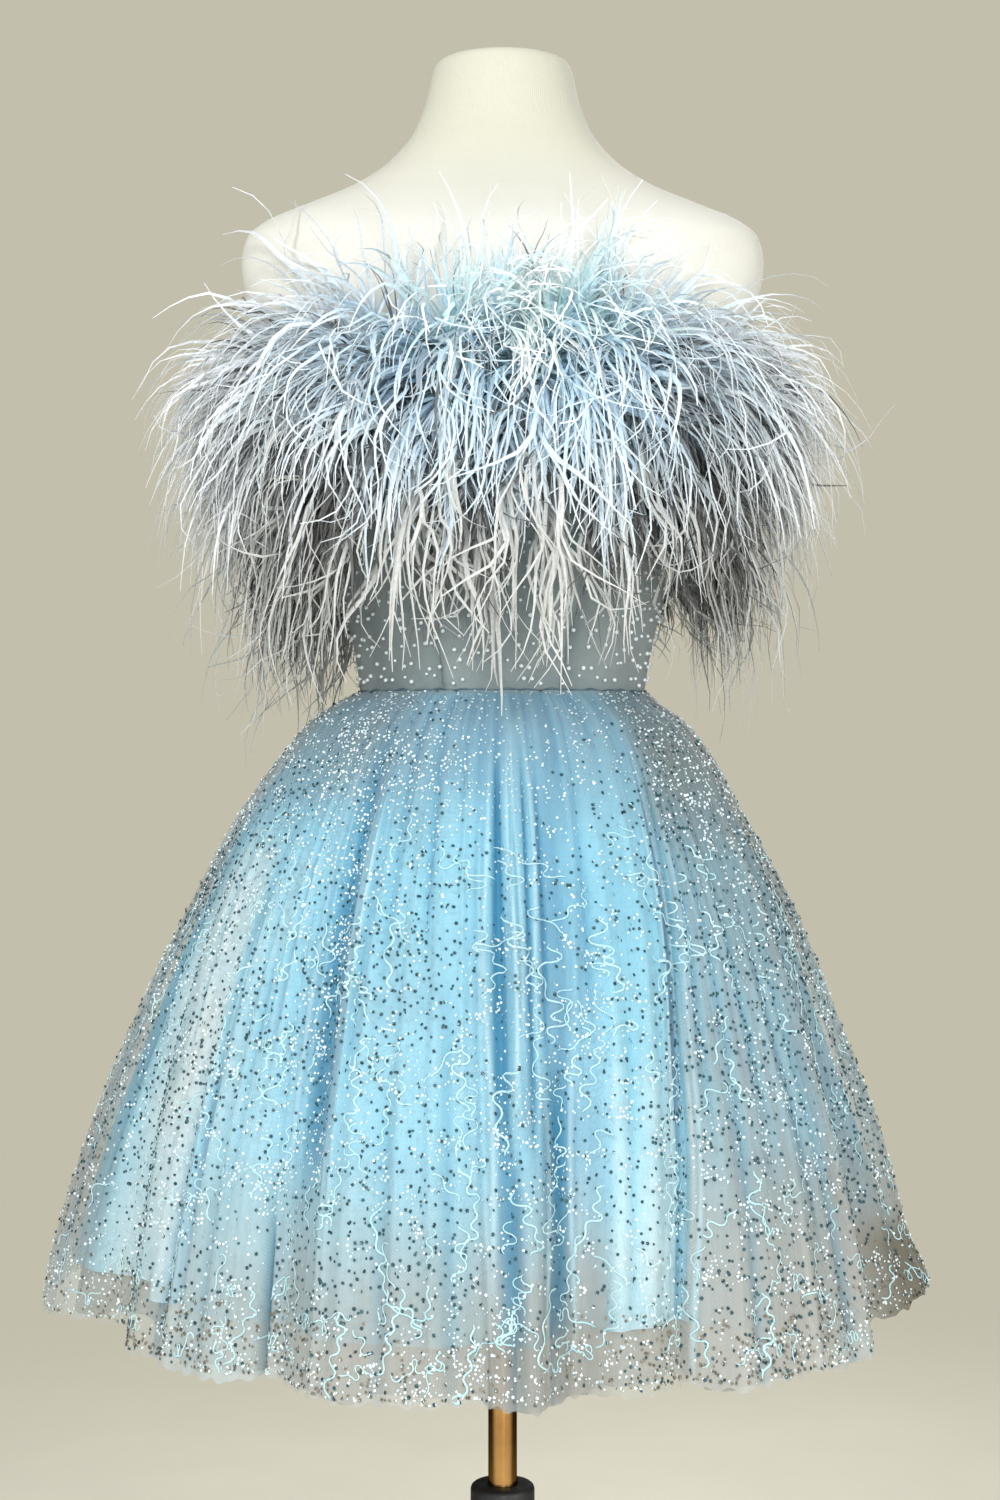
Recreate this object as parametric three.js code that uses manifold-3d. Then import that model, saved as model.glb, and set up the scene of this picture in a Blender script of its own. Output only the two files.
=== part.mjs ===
// A strapless homecoming dress on a limbless dress form, on an adjustable floor stand.
//
// Frame: millimetres, +Z up, the origin on the floor under the pole, the front of the dress facing -Y.
// The turn angle of every section is 0 at the centre front, 90 at the side on +X and 180 at the centre back.
//
// The dress is a five-panel bodice with three rows of ostrich fringe, a centre-back zip, and a gathered skirt of
// three layers: a sequinned tulle overlay, a satin skirt and a net petticoat. Each layer has a front, two backs,
// and the same folds. Every cloth piece is a wall between an outer surface and the same surface moved inwards.

import * as THREE from "three";
import { mergeVertices } from "three/addons/utils/BufferGeometryUtils.js";
import Module from "manifold-3d";

const wasm = await Module();
wasm.setup();

// ---------------------------------------------------------------- driving dimensions

const SEAM_GAP = 0.3; // between two pieces that are sewn together
const WAIST_Z = 1038; // height of the waist seam above the floor
const HEM_DROP = 464; // from the waist seam down to the overlay's hem

const BODICE = { clear: 2.4, wall: 1.6, frontTop: 1282, sideTop: 1262, backTop: 1242, rows: 8 };
const SEAMS = { waistPrincess: 24, bustPrincess: 34, bustZ: 1215, side: 90 };

const SKIRT_LAYERS = [
  // name, wall, distance of its outer face inside the overlay's at the waist and lower down, hem drop, profile rows
  { name: "overlay", wall: 1, atWaist: 0, below: 0, hem: HEM_DROP, material: "sequin_tulle" },
  { name: "satin", wall: 1.2, atWaist: 1.3, below: 7, hem: HEM_DROP - 37, material: "satin" },
  { name: "petticoat", wall: 1, atWaist: 2.8, below: 15, hem: HEM_DROP + 4, material: "net" },
];
const LAYERS_APART_AT = 60; // drop at which the layers reach their full distance apart

const ZIP = { halfWidth: 3, wall: 1, skirtDrop: 150 };
const SLIDER = { width: 7, height: 10, depth: 2.6, below: 7 };
const BAIL = { width: 1.6, reach: 3.4, height: 6, bar: 1 };
const TAB = { width: 5.4, length: 21, window: 3.3 };

const POLE = { radius: 11.2, bottom: 150 };
const TUBE = { radius: 14, inner: 11.5, top: 396 };
const COLLAR = { radius: 25, bottom: 356, top: 421, edge: 4 };
const KNOB = { z: 378, screwRadius: 4, gripRadius: 15, gripLength: 18, lobes: 6, running: 0.1 };
const BASE = { radius: 170, thick: 12, edge: 4, hubRadius: 32, hubTop: 44 };
const FLANGE = { radius: 62, thick: 5, sleeveRadius: 16, sleeveLength: 62, running: 0.09 };

const COLUMNS = { form: 40, back: 8, sideFront: 6, centreFront: 10, fringe: 28, round: 32 };

// ---------------------------------------------------------------- tables of sections

// The dress form, from the bottom up: half width, reach to the front and back, and squareness of the section.
const FORM_SECTIONS = [
  { z: 760, side: 150, front: 98, back: 102, square: 2.2 },
  { z: 768, side: 161, front: 106, back: 112, square: 2.2 },
  { z: 800, side: 166, front: 110, back: 119, square: 2.2 },
  { z: 850, side: 168, front: 107, back: 122, square: 2.2 },
  { z: 900, side: 160, front: 101, back: 116, square: 2.2 },
  { z: 950, side: 141, front: 94, back: 101, square: 2.1 },
  { z: 985, side: 122, front: 88, back: 89, square: 2.05 },
  { z: 1012, side: 110, front: 84, back: 81, square: 2 },
  { z: 1038, side: 107, front: 82, back: 78, square: 2 },
  { z: 1064, side: 110, front: 84, back: 79, square: 2 },
  { z: 1100, side: 119, front: 92, back: 84, square: 2.05 },
  { z: 1140, side: 130, front: 101, back: 90, square: 2.1 },
  { z: 1180, side: 140, front: 108, back: 94, square: 2.15 },
  { z: 1215, side: 146, front: 110, back: 97, square: 2.2 },
  { z: 1250, side: 150, front: 106, back: 99, square: 2.3 },
  { z: 1285, side: 158, front: 97, back: 99, square: 2.5 },
  { z: 1315, side: 186, front: 86, back: 97, square: 2.9 },
  { z: 1345, side: 199, front: 77, back: 92, square: 3 },
  { z: 1370, side: 203, front: 69, back: 85, square: 2.9 },
  { z: 1390, side: 199, front: 63, back: 78, square: 2.7 },
  { z: 1403, side: 185, front: 60, back: 73, square: 2.4 },
  { z: 1415, side: 157, front: 59, back: 69, square: 2.2 },
  { z: 1431, side: 118, front: 58, back: 65, square: 2.1 },
  { z: 1450, side: 89, front: 57, back: 61, square: 2 },
  { z: 1474, side: 69, front: 56, back: 57, square: 2 },
  { z: 1500, side: 59, front: 54, back: 54, square: 2 },
  { z: 1518, side: 55, front: 52, back: 50, square: 2 },
  { z: 1527, side: 51, front: 48, back: 46, square: 2 },
  { z: 1530, side: 40, front: 38, back: 35, square: 2 },
];
const CUPS = { x: 68, z: 1207, depth: 17, spreadX: 52, spreadZ: 46 };

// The skirt's outer profile: how far the overlay reaches to each side at each drop below the waist seam.
const SKIRT_PROFILE = [
  { drop: 0, left: 112, right: 112, front: 87, back: 83 },
  { drop: 8, left: 129, right: 121, front: 101, back: 97 },
  { drop: 22, left: 149, right: 140, front: 120, back: 116 },
  { drop: 50, left: 173, right: 163, front: 145, back: 141 },
  { drop: 95, left: 203, right: 187, front: 175, back: 171 },
  { drop: 160, left: 238, right: 221, front: 212, back: 206 },
  { drop: 240, left: 277, right: 253, front: 251, back: 244 },
  { drop: 330, left: 314, right: 287, front: 293, back: 284 },
  { drop: 420, left: 342, right: 310, front: 330, back: 318 },
  { drop: 464, left: 351, right: 318, front: 349, back: 334 },
  { drop: 476, left: 353, right: 320, front: 354, back: 338 },
];
const LAYER_ROWS = {
  // the drops of each layer's rows above its hem; the overlay's backs have two more where the zip ends
  overlay: [0, 8, 22, 50, 95, 160, 240, 320, 400],
  satin: [0, 8, 22, 60, 180, 310],
  petticoat: [0, 22, 90, 200, 340],
};

// The folds that fall from the waist: their turn angle at the waist and the hem, half width in degrees at the
// hem, depth at the hem, and the share of the drop at which each starts to sink in.
const FOLDS = [
  { waist: -165, hem: -165, half: 12, depth: 27, start: 0.05 },
  { waist: -141, hem: -139, half: 11, depth: 31, start: 0.2 },
  { waist: -114, hem: -113, half: 11, depth: 30, start: 0.12 },
  { waist: -76, hem: -64, half: 14, depth: 36, start: 0.22 },
  { waist: -57, hem: -46, half: 34, depth: 24, start: 0.3 },
  { waist: -44, hem: -29, half: 10, depth: 30, start: 0.02 },
  { waist: -10, hem: -2, half: 5, depth: 14, start: 0 },
  { waist: 18, hem: 9, half: 6.5, depth: 40, start: 0.04 },
  { waist: 31, hem: 16, half: 13, depth: 22, start: 0.35 },
  { waist: 46, hem: 23, half: 7.5, depth: 30, start: 0.08 },
  { waist: 76, hem: 63, half: 13, depth: 46, start: 0.28 },
  { waist: 114, hem: 114, half: 12, depth: 31, start: 0.1 },
  { waist: 140, hem: 139, half: 11, depth: 28, start: 0.22 },
  { waist: 164, hem: 163, half: 11, depth: 30, start: 0.06 },
];
const FOLD_SAMPLES = [-1, -0.55, 0, 0.55, 1];

// The three rows of fringe, cut from one bell shape: distance out from the bodice, and height.
// Each row is closed by the cut line above it, its own outer line, and the cut line below it.
const FRINGE_CUTS = [
  [{ out: 0, z: 1280 }, { out: 8, z: 1316 }, { out: 40, z: 1332 }],
  [{ out: 0, z: 1240 }, { out: 46, z: 1258 }, { out: 84, z: 1228 }, { out: 121, z: 1190 }],
  [{ out: 0, z: 1200 }, { out: 40, z: 1206 }, { out: 70, z: 1170 }, { out: 104, z: 1110 }],
  [{ out: 0, z: 1164 }, { out: 22, z: 1150 }, { out: 42, z: 1100 }, { out: 56, z: 1042 }],
];
const FRINGE_ROWS = [
  { name: "fringe_top", outer: [{ out: 84, z: 1314 }, { out: 112, z: 1272 }, { out: 122, z: 1226 }] },
  { name: "fringe_middle", outer: [{ out: 119, z: 1152 }] },
  { name: "fringe_bottom", outer: [{ out: 90, z: 1060 }, { out: 72, z: 1032 }] },
];
const FRINGE = { gap: 3, backSlot: 9, front: 0.86, side: 1.05, back: 0.8 };

// ---------------------------------------------------------------- materials

const colour = (hex, roughness, metalness = 0) =>
  new THREE.MeshStandardMaterial({ color: hex, roughness, metalness });

const MATERIALS = {
  sequin_tulle: colour(0xb3d5e3, 0.45),
  satin: colour(0x9ad2f0, 0.35),
  net: colour(0xc6d3d6, 0.7),
  bodice_cloth: colour(0xa9bcc0, 0.5),
  feather: colour(0xc3d3da, 0.8),
  zip_tape: colour(0xaccbd9, 0.6),
  zip_metal: colour(0xc9ccd0, 0.3, 1),
  form_jersey: colour(0xf4f2df, 0.85),
  brass: colour(0xb98d4d, 0.25, 1),
  black_metal: colour(0x191919, 0.4, 0.6),
};

// ---------------------------------------------------------------- small maths

const radians = THREE.MathUtils.degToRad;
const { lerp, smoothstep, clamp } = THREE.MathUtils;
const dropTo = (drop) => WAIST_Z - drop;

// The value of a table's column at a key, on a smooth curve through the rows.
function tableAt(rows, key, at, column) {
  let i = rows.findIndex((row) => row[key] >= at);
  if (i < 0) i = rows.length - 1;
  if (i === 0) i = 1;
  const [a, b] = [rows[i - 1], rows[i]];
  const span = b[key] - a[key];
  const slope = (from, to) => (to[column] - from[column]) / (to[key] - from[key]);
  const tangent = (row, before, after) => {
    if (!before || !after) return slope(before || row, after || row);
    const [s0, s1] = [slope(before, row), slope(row, after)];
    return s0 * s1 <= 0 ? 0 : (2 * s0 * s1) / (s0 + s1);
  };
  const ta = tangent(a, rows[i - 2], b);
  const tb = tangent(b, a, rows[i + 1]);
  const t = clamp((at - a[key]) / span, 0, 1);
  const [t2, t3] = [t * t, t * t * t];
  return (
    a[column] * (2 * t3 - 3 * t2 + 1) +
    b[column] * (3 * t2 - 2 * t3) +
    span * (ta * (t3 - 2 * t2 + t) + tb * (t3 - t2))
  );
}

const signedPower = (value, power) => Math.sign(value) * Math.abs(value) ** power;

// ---------------------------------------------------------------- surfaces

// A point of the dress form's section at a height, moved out by a distance.
function formPoint(turn, z, out = 0) {
  const at = (column) => tableAt(FORM_SECTIONS, "z", z, column);
  const power = 2 / at("square");
  const across = signedPower(Math.sin(radians(turn)), power);
  const ahead = signedPower(Math.cos(radians(turn)), power);
  const x = (at("side") + out) * across;
  const depth = (ahead > 0 ? at("front") : at("back")) + out;
  const offCup = (Math.abs(x) - CUPS.x) / CUPS.spreadX;
  const offHeight = (z - CUPS.z) / CUPS.spreadZ;
  const cup = ahead > 0 ? CUPS.depth * Math.exp(-(offCup ** 2) - offHeight ** 2) * Math.sqrt(ahead) : 0;
  return new THREE.Vector3(x, -depth * ahead - cup, z);
}

// The turn angle at the waist of the gather that ends at a given turn angle of the hem.
function waistTurn(hemTurn) {
  const pairs = [
    { waist: -180, hem: -180 },
    ...FOLDS,
    { waist: -90, hem: -90 },
    { waist: 90, hem: 90 },
    { waist: 180, hem: 180 },
  ].sort((a, b) => a.hem - b.hem);
  const i = clamp(pairs.findIndex((pair) => pair.hem >= hemTurn), 1, pairs.length - 1);
  const [a, b] = [pairs[i - 1], pairs[i]];
  return lerp(a.waist, b.waist, (hemTurn - a.hem) / (b.hem - a.hem));
}

// How far the folds sink in at a gather and a drop: each is a raised cosine that deepens to the hem.
function foldDepth(hemTurn, drop) {
  const share = drop / HEM_DROP;
  return FOLDS.reduce((sum, fold) => {
    const off = Math.abs(hemTurn - fold.hem) / fold.half;
    const sunk = smoothstep(share, fold.start, 1.15);
    return off < 1 ? sum + fold.depth * sunk * 0.5 * (1 + Math.cos(Math.PI * off)) : sum;
  }, 0);
}

// A point on the overlay's outer surface, with an inset in mm along the section at a seam edge.
function skirtPoint(hemTurn, drop, inset = 0) {
  const at = (column) => tableAt(SKIRT_PROFILE, "drop", drop, column);
  const turn = radians(lerp(waistTurn(hemTurn), hemTurn, Math.min(1, drop / HEM_DROP) ** 0.7));
  const side = Math.sin(turn) > 0 ? at("right") : at("left");
  const depth = Math.cos(turn) > 0 ? at("front") : at("back");
  const smooth = 1 / Math.hypot(Math.sin(turn) / side, Math.cos(turn) / depth);
  const radius = smooth - foldDepth(hemTurn, drop);
  const shifted = turn + inset / radius;
  return new THREE.Vector3(Math.sin(shifted) * radius, -Math.cos(shifted) * radius, dropTo(drop));
}

// The outward direction of a surface given as a function of turn and height or drop, by differences.
function outward(surface, turn, along) {
  const [dTurn, dAlong] = [0.4, 0.6];
  const across = surface(turn + dTurn, along).sub(surface(turn - dTurn, along));
  const down = surface(turn, along + dAlong).sub(surface(turn, Math.max(along - dAlong, 0)));
  const normal = across.cross(down).normalize();
  const point = surface(turn, along);
  return normal.dot(new THREE.Vector3(point.x, point.y, 0)) < 0 ? normal.negate() : normal;
}

// The skirt's own outward direction, from its smooth profile alone, so that all layers share their folds.
function profileNormal(hemTurn, drop) {
  const step = 1;
  const [low, high] = [Math.max(drop - step, 0), drop + step];
  const radiusAt = (d) => {
    const p = skirtPoint(hemTurn, d);
    return Math.hypot(p.x, p.y) + foldDepth(hemTurn, d);
  };
  const slope = (radiusAt(high) - radiusAt(low)) / (high - low);
  const point = skirtPoint(hemTurn, drop);
  const radial = new THREE.Vector3(point.x, point.y, 0).normalize();
  return radial.add(new THREE.Vector3(0, 0, slope)).normalize();
}

// ---------------------------------------------------------------- solids

// A solid mesh from points and triangles, with its faces turned outwards.
function solid(name, material, points, triangles) {
  const geometry = new THREE.BufferGeometry().setFromPoints(points);
  const volume = triangles.reduce((sum, [a, b, c]) => {
    return sum + points[a].dot(new THREE.Vector3().crossVectors(points[b], points[c]));
  }, 0);
  geometry.setIndex((volume < 0 ? triangles.map(([a, b, c]) => [a, c, b]) : triangles).flat());
  geometry.computeVertexNormals();
  return named(name, material, geometry);
}

function named(name, material, geometry) {
  const mesh = new THREE.Mesh(geometry, MATERIALS[material]);
  mesh.name = name;
  return mesh;
}

// A wall between two grids of points, closed along its four edges.
function wall(name, material, outer, inner) {
  const [rows, columns] = [outer.length, outer[0].length];
  const points = [...outer.flat(), ...inner.flat()];
  const at = (side, i, j) => side * rows * columns + i * columns + j;
  const triangles = [];
  const quad = (a, b, c, d) => triangles.push([a, b, c], [a, c, d]);
  for (let i = 0; i + 1 < rows; i++) {
    for (let j = 0; j + 1 < columns; j++) {
      quad(at(0, i, j), at(0, i, j + 1), at(0, i + 1, j + 1), at(0, i + 1, j));
      triangles.push([at(1, i, j), at(1, i + 1, j + 1), at(1, i, j + 1)]);
      triangles.push([at(1, i, j), at(1, i + 1, j), at(1, i + 1, j + 1)]);
    }
  }
  for (let j = 0; j + 1 < columns; j++) {
    quad(at(0, 0, j + 1), at(0, 0, j), at(1, 0, j), at(1, 0, j + 1));
    quad(at(0, rows - 1, j), at(0, rows - 1, j + 1), at(1, rows - 1, j + 1), at(1, rows - 1, j));
  }
  for (let i = 0; i + 1 < rows; i++) {
    quad(at(0, i, 0), at(0, i + 1, 0), at(1, i + 1, 0), at(1, i, 0));
    quad(at(0, i + 1, columns - 1), at(0, i, columns - 1), at(1, i, columns - 1), at(1, i + 1, columns - 1));
  }
  return solid(name, material, points, triangles);
}

// The triangles that fill an outline, turned the same way as the outline runs.
function fill(outline) {
  const triangles = THREE.ShapeUtils.triangulateShape(outline, []);
  return THREE.ShapeUtils.isClockWise(outline) ? triangles.map(([a, b, c]) => [a, c, b]) : triangles;
}

// Closed rings of points joined in order, with caps on the first and last ring.
function joinRings(rings, cap) {
  const size = rings[0].length;
  const triangles = [];
  for (let i = 0; i + 1 < rings.length; i++) {
    for (let j = 0; j < size; j++) {
      const [a, b] = [i * size + j, i * size + ((j + 1) % size)];
      triangles.push([a, b, b + size], [a, b + size, a + size]);
    }
  }
  const last = (rings.length - 1) * size;
  for (const [p, q, r] of cap) {
    triangles.push([p, r, q], [last + p, last + q, last + r]);
  }
  return { points: rings.flat(), triangles };
}

// A round solid about a vertical axis, from its profile of radius and height, ends on the axis or closed.
function turned(name, material, profile) {
  const outline = profile.map(([radius, z]) => new THREE.Vector2(radius, z));
  return named(name, material, new THREE.LatheGeometry(outline, COLUMNS.round).rotateX(Math.PI / 2));
}

// ---------------------------------------------------------------- booleans

function toManifold(mesh) {
  mesh.updateMatrix();
  const source = mesh.geometry.clone().applyMatrix4(mesh.matrix);
  source.deleteAttribute("normal");
  source.deleteAttribute("uv");
  const merged = mergeVertices(source, 1e-4);
  return new wasm.Manifold(
    new wasm.Mesh({
      numProp: 3,
      vertProperties: merged.attributes.position.array,
      triVerts: new Uint32Array(merged.index.array),
    }),
  );
}

function fromManifold(name, material, body) {
  const { vertProperties, triVerts } = body.getMesh();
  const geometry = new THREE.BufferGeometry();
  geometry.setAttribute("position", new THREE.BufferAttribute(vertProperties, 3));
  geometry.setIndex(new THREE.BufferAttribute(triVerts, 1));
  return named(name, material, geometry);
}

function cut(name, material, body, ...tools) {
  const left = tools.reduce((rest, tool) => rest.subtract(toManifold(tool)), toManifold(body));
  return fromManifold(name, material, left);
}

function joined(name, material, ...bodies) {
  const whole = bodies.map(toManifold).reduce((sum, body) => sum.add(body));
  return fromManifold(name, material, whole);
}

// ---------------------------------------------------------------- dress form

function dressForm() {
  const turns = Array.from({ length: COLUMNS.form }, (_, j) => (360 * j) / COLUMNS.form - 180);
  const rings = FORM_SECTIONS.map(({ z }) => turns.map((turn) => formPoint(turn, z)));
  const { points, triangles } = joinRings(rings, fill(rings[0].map(({ x, y }) => new THREE.Vector2(x, y))));
  return solid("dress_form", "form_jersey", points, triangles);
}

// ---------------------------------------------------------------- bodice

const bodiceTop = (turn) => {
  const c = Math.cos(radians(turn));
  return BODICE.sideTop + c * (c > 0 ? BODICE.frontTop - BODICE.sideTop : BODICE.sideTop - BODICE.backTop);
};

// The princess seam stands further out at the bust than at the waist.
const princess = (z) => {
  const share = smoothstep(z, WAIST_Z, SEAMS.bustZ);
  return lerp(SEAMS.waistPrincess, SEAMS.bustPrincess, share);
};

const bodicePoint = (turn, z, out = 0) => formPoint(turn, z, BODICE.clear + BODICE.wall + out);

// The bodice's five panels, each between two seams that are functions of height, in the order that they meet.
const BODICE_PANELS = [
  { name: "bodice_back_left", from: () => -180, to: () => -SEAMS.side, columns: COLUMNS.back },
  { name: "bodice_side_front_left", from: () => -SEAMS.side, to: (z) => -princess(z), columns: COLUMNS.sideFront },
  { name: "bodice_centre_front", from: (z) => -princess(z), to: princess, columns: COLUMNS.centreFront },
  { name: "bodice_side_front_right", from: princess, to: () => SEAMS.side, columns: COLUMNS.sideFront },
  { name: "bodice_back_right", from: () => SEAMS.side, to: () => 180, columns: COLUMNS.back },
];

// The turn angles of a panel's columns at a height.
const panelTurns = ({ from, to, columns }, z) =>
  Array.from({ length: columns + 1 }, (_, j) => lerp(from(z), to(z), j / columns));

// Half the gap that a panel's edge leaves: half a seam, or the zip's tape and a seam at the centre back.
const edgeGap = (turn) => (Math.abs(turn) === 180 ? ZIP.halfWidth + SEAM_GAP : SEAM_GAP / 2);

function bodicePanel(panel) {
  const grids = [0, -BODICE.wall].map((out) =>
    Array.from({ length: BODICE.rows + 1 }, (_, i) => {
      const share = i / BODICE.rows;
      return panelTurns(panel, WAIST_Z).map((_turn, j) => {
        const rough = panelTurns(panel, lerp(WAIST_Z, BODICE.sideTop, share))[j];
        const z = lerp(WAIST_Z + SEAM_GAP / 2, bodiceTop(rough), share);
        const turn = panelTurns(panel, z)[j];
        const inset = j === 0 ? edgeGap(turn) : j === panel.columns ? -edgeGap(turn) : 0;
        return shiftAlong(turn, z, out, inset);
      });
    }),
  );
  return wall(panel.name, "bodice_cloth", ...grids);
}

// A bodice point moved along its section by a distance, towards a growing turn angle.
function shiftAlong(turn, z, out, inset) {
  const point = bodicePoint(turn, z, out);
  if (inset === 0) return point;
  const step = 1;
  const ahead = bodicePoint(turn + step * Math.sign(inset), z, out).sub(point);
  return point.add(ahead.setLength(Math.abs(inset)));
}

// ---------------------------------------------------------------- fringe

// The bell of one row at a column, from the bodice's own points at that column moved out.
function fringeRing(polygon, turn) {
  const c = Math.cos(radians(turn));
  const reach = lerp(FRINGE.side, c > 0 ? FRINGE.front : FRINGE.back, c * c);
  return polygon.map(({ out, z }) => {
    const lower = z - (bodiceTop(0) - bodiceTop(turn));
    const root = bodicePoint(turn, Math.max(lower, WAIST_Z), FRINGE.gap);
    const away = new THREE.Vector3(root.x, root.y, 0).normalize().multiplyScalar(out * reach);
    return root.add(away).setZ(lower);
  });
}

function fringeRow(row, index) {
  const above = FRINGE_CUTS[index];
  const below = FRINGE_CUTS[index + 1];
  const eased = below.map(({ out, z }) => ({ out: out && out + FRINGE.gap, z: z + FRINGE.gap }));
  const inside = { out: 0, z: (above[0].z + below[0].z) / 2 };
  const polygon = [...above, ...row.outer, ...eased.reverse(), inside];
  const last = 180 - THREE.MathUtils.radToDeg(FRINGE.backSlot / Math.abs(bodicePoint(180, BODICE.backTop).y));
  const turns = Array.from({ length: COLUMNS.fringe + 1 }, (_, j) => lerp(-last, last, j / COLUMNS.fringe));
  const rings = turns.map((turn) => fringeRing(polygon, turn));
  const cap = fill(polygon.map(({ out, z }) => new THREE.Vector2(out, z)));
  const { points, triangles } = joinRings(rings, cap);
  return solid(row.name, "feather", points, triangles);
}

// ---------------------------------------------------------------- skirt

// The gathers that carry the grid's columns: every fold's own samples, and one in the middle of each wide gap.
function skirtColumns(from, to) {
  const marks = [from, to];
  for (const fold of FOLDS) {
    for (const share of FOLD_SAMPLES) marks.push(fold.hem + share * fold.half);
  }
  const least = 1.5;
  const sorted = marks
    .filter((turn) => turn >= from && turn <= to)
    .sort((a, b) => a - b)
    .filter((turn, i, all) => i === 0 || turn - all[i - 1] > least || turn === to);
  const widest = 11;
  return sorted.flatMap((turn, i) => {
    const next = sorted[i + 1];
    return next - turn > widest ? [turn, (turn + next) / 2] : [turn];
  });
}

// A point of a layer's outer face: the overlay's surface, moved inwards.
function layerPoint(layer, hemTurn, drop, inset = 0) {
  const apart = lerp(layer.atWaist, layer.below, smoothstep(drop, 0, LAYERS_APART_AT));
  const point = skirtPoint(hemTurn, drop, inset);
  return point.addScaledVector(profileNormal(hemTurn, drop), -apart);
}

const SKIRT_PANELS = [
  { part: "front", from: -90, to: 90 },
  { part: "back_right", from: 90, to: 180 },
  { part: "back_left", from: -180, to: -90 },
];

function panelDrops(layer, part) {
  const open = part !== "front" && layer.name === "overlay";
  const ends = open ? [ZIP.skirtDrop, ZIP.skirtDrop + 2] : [];
  const apart = (drop) => ends.every((end) => Math.abs(drop - end) > 20);
  return [...LAYER_ROWS[layer.name].filter(apart), ...ends, layer.hem].sort((a, b) => a - b);
}

function skirtPanel(layer, { part, from, to }) {
  const drops = panelDrops(layer, part);
  const columns = skirtColumns(from, to);
  const zipped = (turn, drop) => layer.name === "overlay" && Math.abs(turn) === 180 && drop <= ZIP.skirtDrop;
  const edge = (turn, drop) => (zipped(turn, drop) ? ZIP.halfWidth + SEAM_GAP : SEAM_GAP / 2);
  const grid = (inwards) =>
    drops.map((drop) =>
      columns.map((turn) => {
        const inset = turn === from ? edge(turn, drop) : turn === to ? -edge(turn, drop) : 0;
        const point = layerPoint(layer, turn, drop, inset);
        const surface = (t, d) => layerPoint(layer, t, d);
        return point.addScaledVector(outward(surface, turn, drop), -inwards);
      }),
    );
  const name = `skirt_${layer.name}_${part}`;
  return wall(name, layer.material, grid(0), grid(layer.wall)).translateZ(-SEAM_GAP / 2);
}

// ---------------------------------------------------------------- zip

// The centre-back line from the bodice's top edge down over the waist to the zip's end in the skirt.
function zipLine() {
  const bodice = Array.from({ length: BODICE.rows + 1 }, (_, i) => {
    const z = lerp(BODICE.backTop, WAIST_Z + SEAM_GAP, i / BODICE.rows);
    return bodicePoint(180, z);
  });
  const drops = LAYER_ROWS.overlay.filter((drop) => drop > 0 && drop < ZIP.skirtDrop);
  return [...bodice, ...[...drops, ZIP.skirtDrop - 2 * SEAM_GAP].map((drop) => skirtPoint(180, drop))];
}

function zipTape() {
  const line = zipLine().map((point) => point.setX(0));
  const normals = line.map((point, i) => {
    const along = line[Math.min(i + 1, line.length - 1)].clone().sub(line[Math.max(i - 1, 0)]);
    return new THREE.Vector3(0, -along.z, along.y).normalize();
  });
  const grid = (inwards) =>
    line.map((point, i) =>
      [-ZIP.halfWidth, ZIP.halfWidth].map((x) => point.clone().setX(x).addScaledVector(normals[i], -inwards)),
    );
  return wall("zip", "zip_tape", grid(0), grid(ZIP.wall));
}

const SLIDER_Z = BODICE.backTop - SLIDER.below;
const SLIDER_Y = bodicePoint(180, SLIDER_Z).y + 2 * SEAM_GAP;
const HINGE = { y: SLIDER_Y + SLIDER.depth + BAIL.reach / 2 - BAIL.bar / 2, z: SLIDER_Z - BAIL.height / 2 + 2.2 };

// The slider's body with the bail, an arch in the middle that the pull tab hangs on.
function zipSlider() {
  const body = new THREE.BoxGeometry(SLIDER.width, SLIDER.depth, SLIDER.height);
  body.translate(0, SLIDER_Y + SLIDER.depth / 2, SLIDER_Z);
  const arch = new THREE.BoxGeometry(BAIL.width, BAIL.reach + 1, BAIL.height);
  arch.translate(0, SLIDER_Y + SLIDER.depth + BAIL.reach / 2 - 0.5, SLIDER_Z);
  const hollow = new THREE.BoxGeometry(BAIL.width * 2, BAIL.reach - BAIL.bar, BAIL.height - 2 * BAIL.bar);
  hollow.translate(0, SLIDER_Y + SLIDER.depth + (BAIL.reach - BAIL.bar) / 2, SLIDER_Z);
  const ring = cut("bail", "zip_metal", new THREE.Mesh(arch), new THREE.Mesh(hollow));
  return joined("zip_slider", "zip_metal", new THREE.Mesh(body), ring);
}

// The pull tab: a plate that tapers, with a window whose top bar lies inside the bail.
function pullTab() {
  const half = TAB.width / 2;
  const bar = BAIL.bar / 2;
  const plate = new THREE.Shape();
  plate.moveTo(-half, bar);
  plate.lineTo(half, bar);
  plate.lineTo(half * 0.75, -TAB.length + half);
  plate.absarc(0, -TAB.length + half, half * 0.75, 0, -Math.PI, true);
  plate.closePath();
  const window = new THREE.Path();
  const [wide, tall] = [BAIL.width / 2 + 0.5, TAB.window];
  window.moveTo(-wide, -bar);
  window.lineTo(-wide, -bar - tall);
  window.lineTo(wide, -bar - tall);
  window.lineTo(wide, -bar);
  window.closePath();
  plate.holes.push(window);
  const geometry = new THREE.ExtrudeGeometry(plate, { depth: BAIL.bar, bevelEnabled: false, curveSegments: 8 });
  geometry.translate(0, 0, -BAIL.bar / 2).rotateX(Math.PI / 2);
  return named("pull_tab", "zip_metal", geometry.translate(0, HINGE.y, HINGE.z));
}

// ---------------------------------------------------------------- stand

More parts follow.
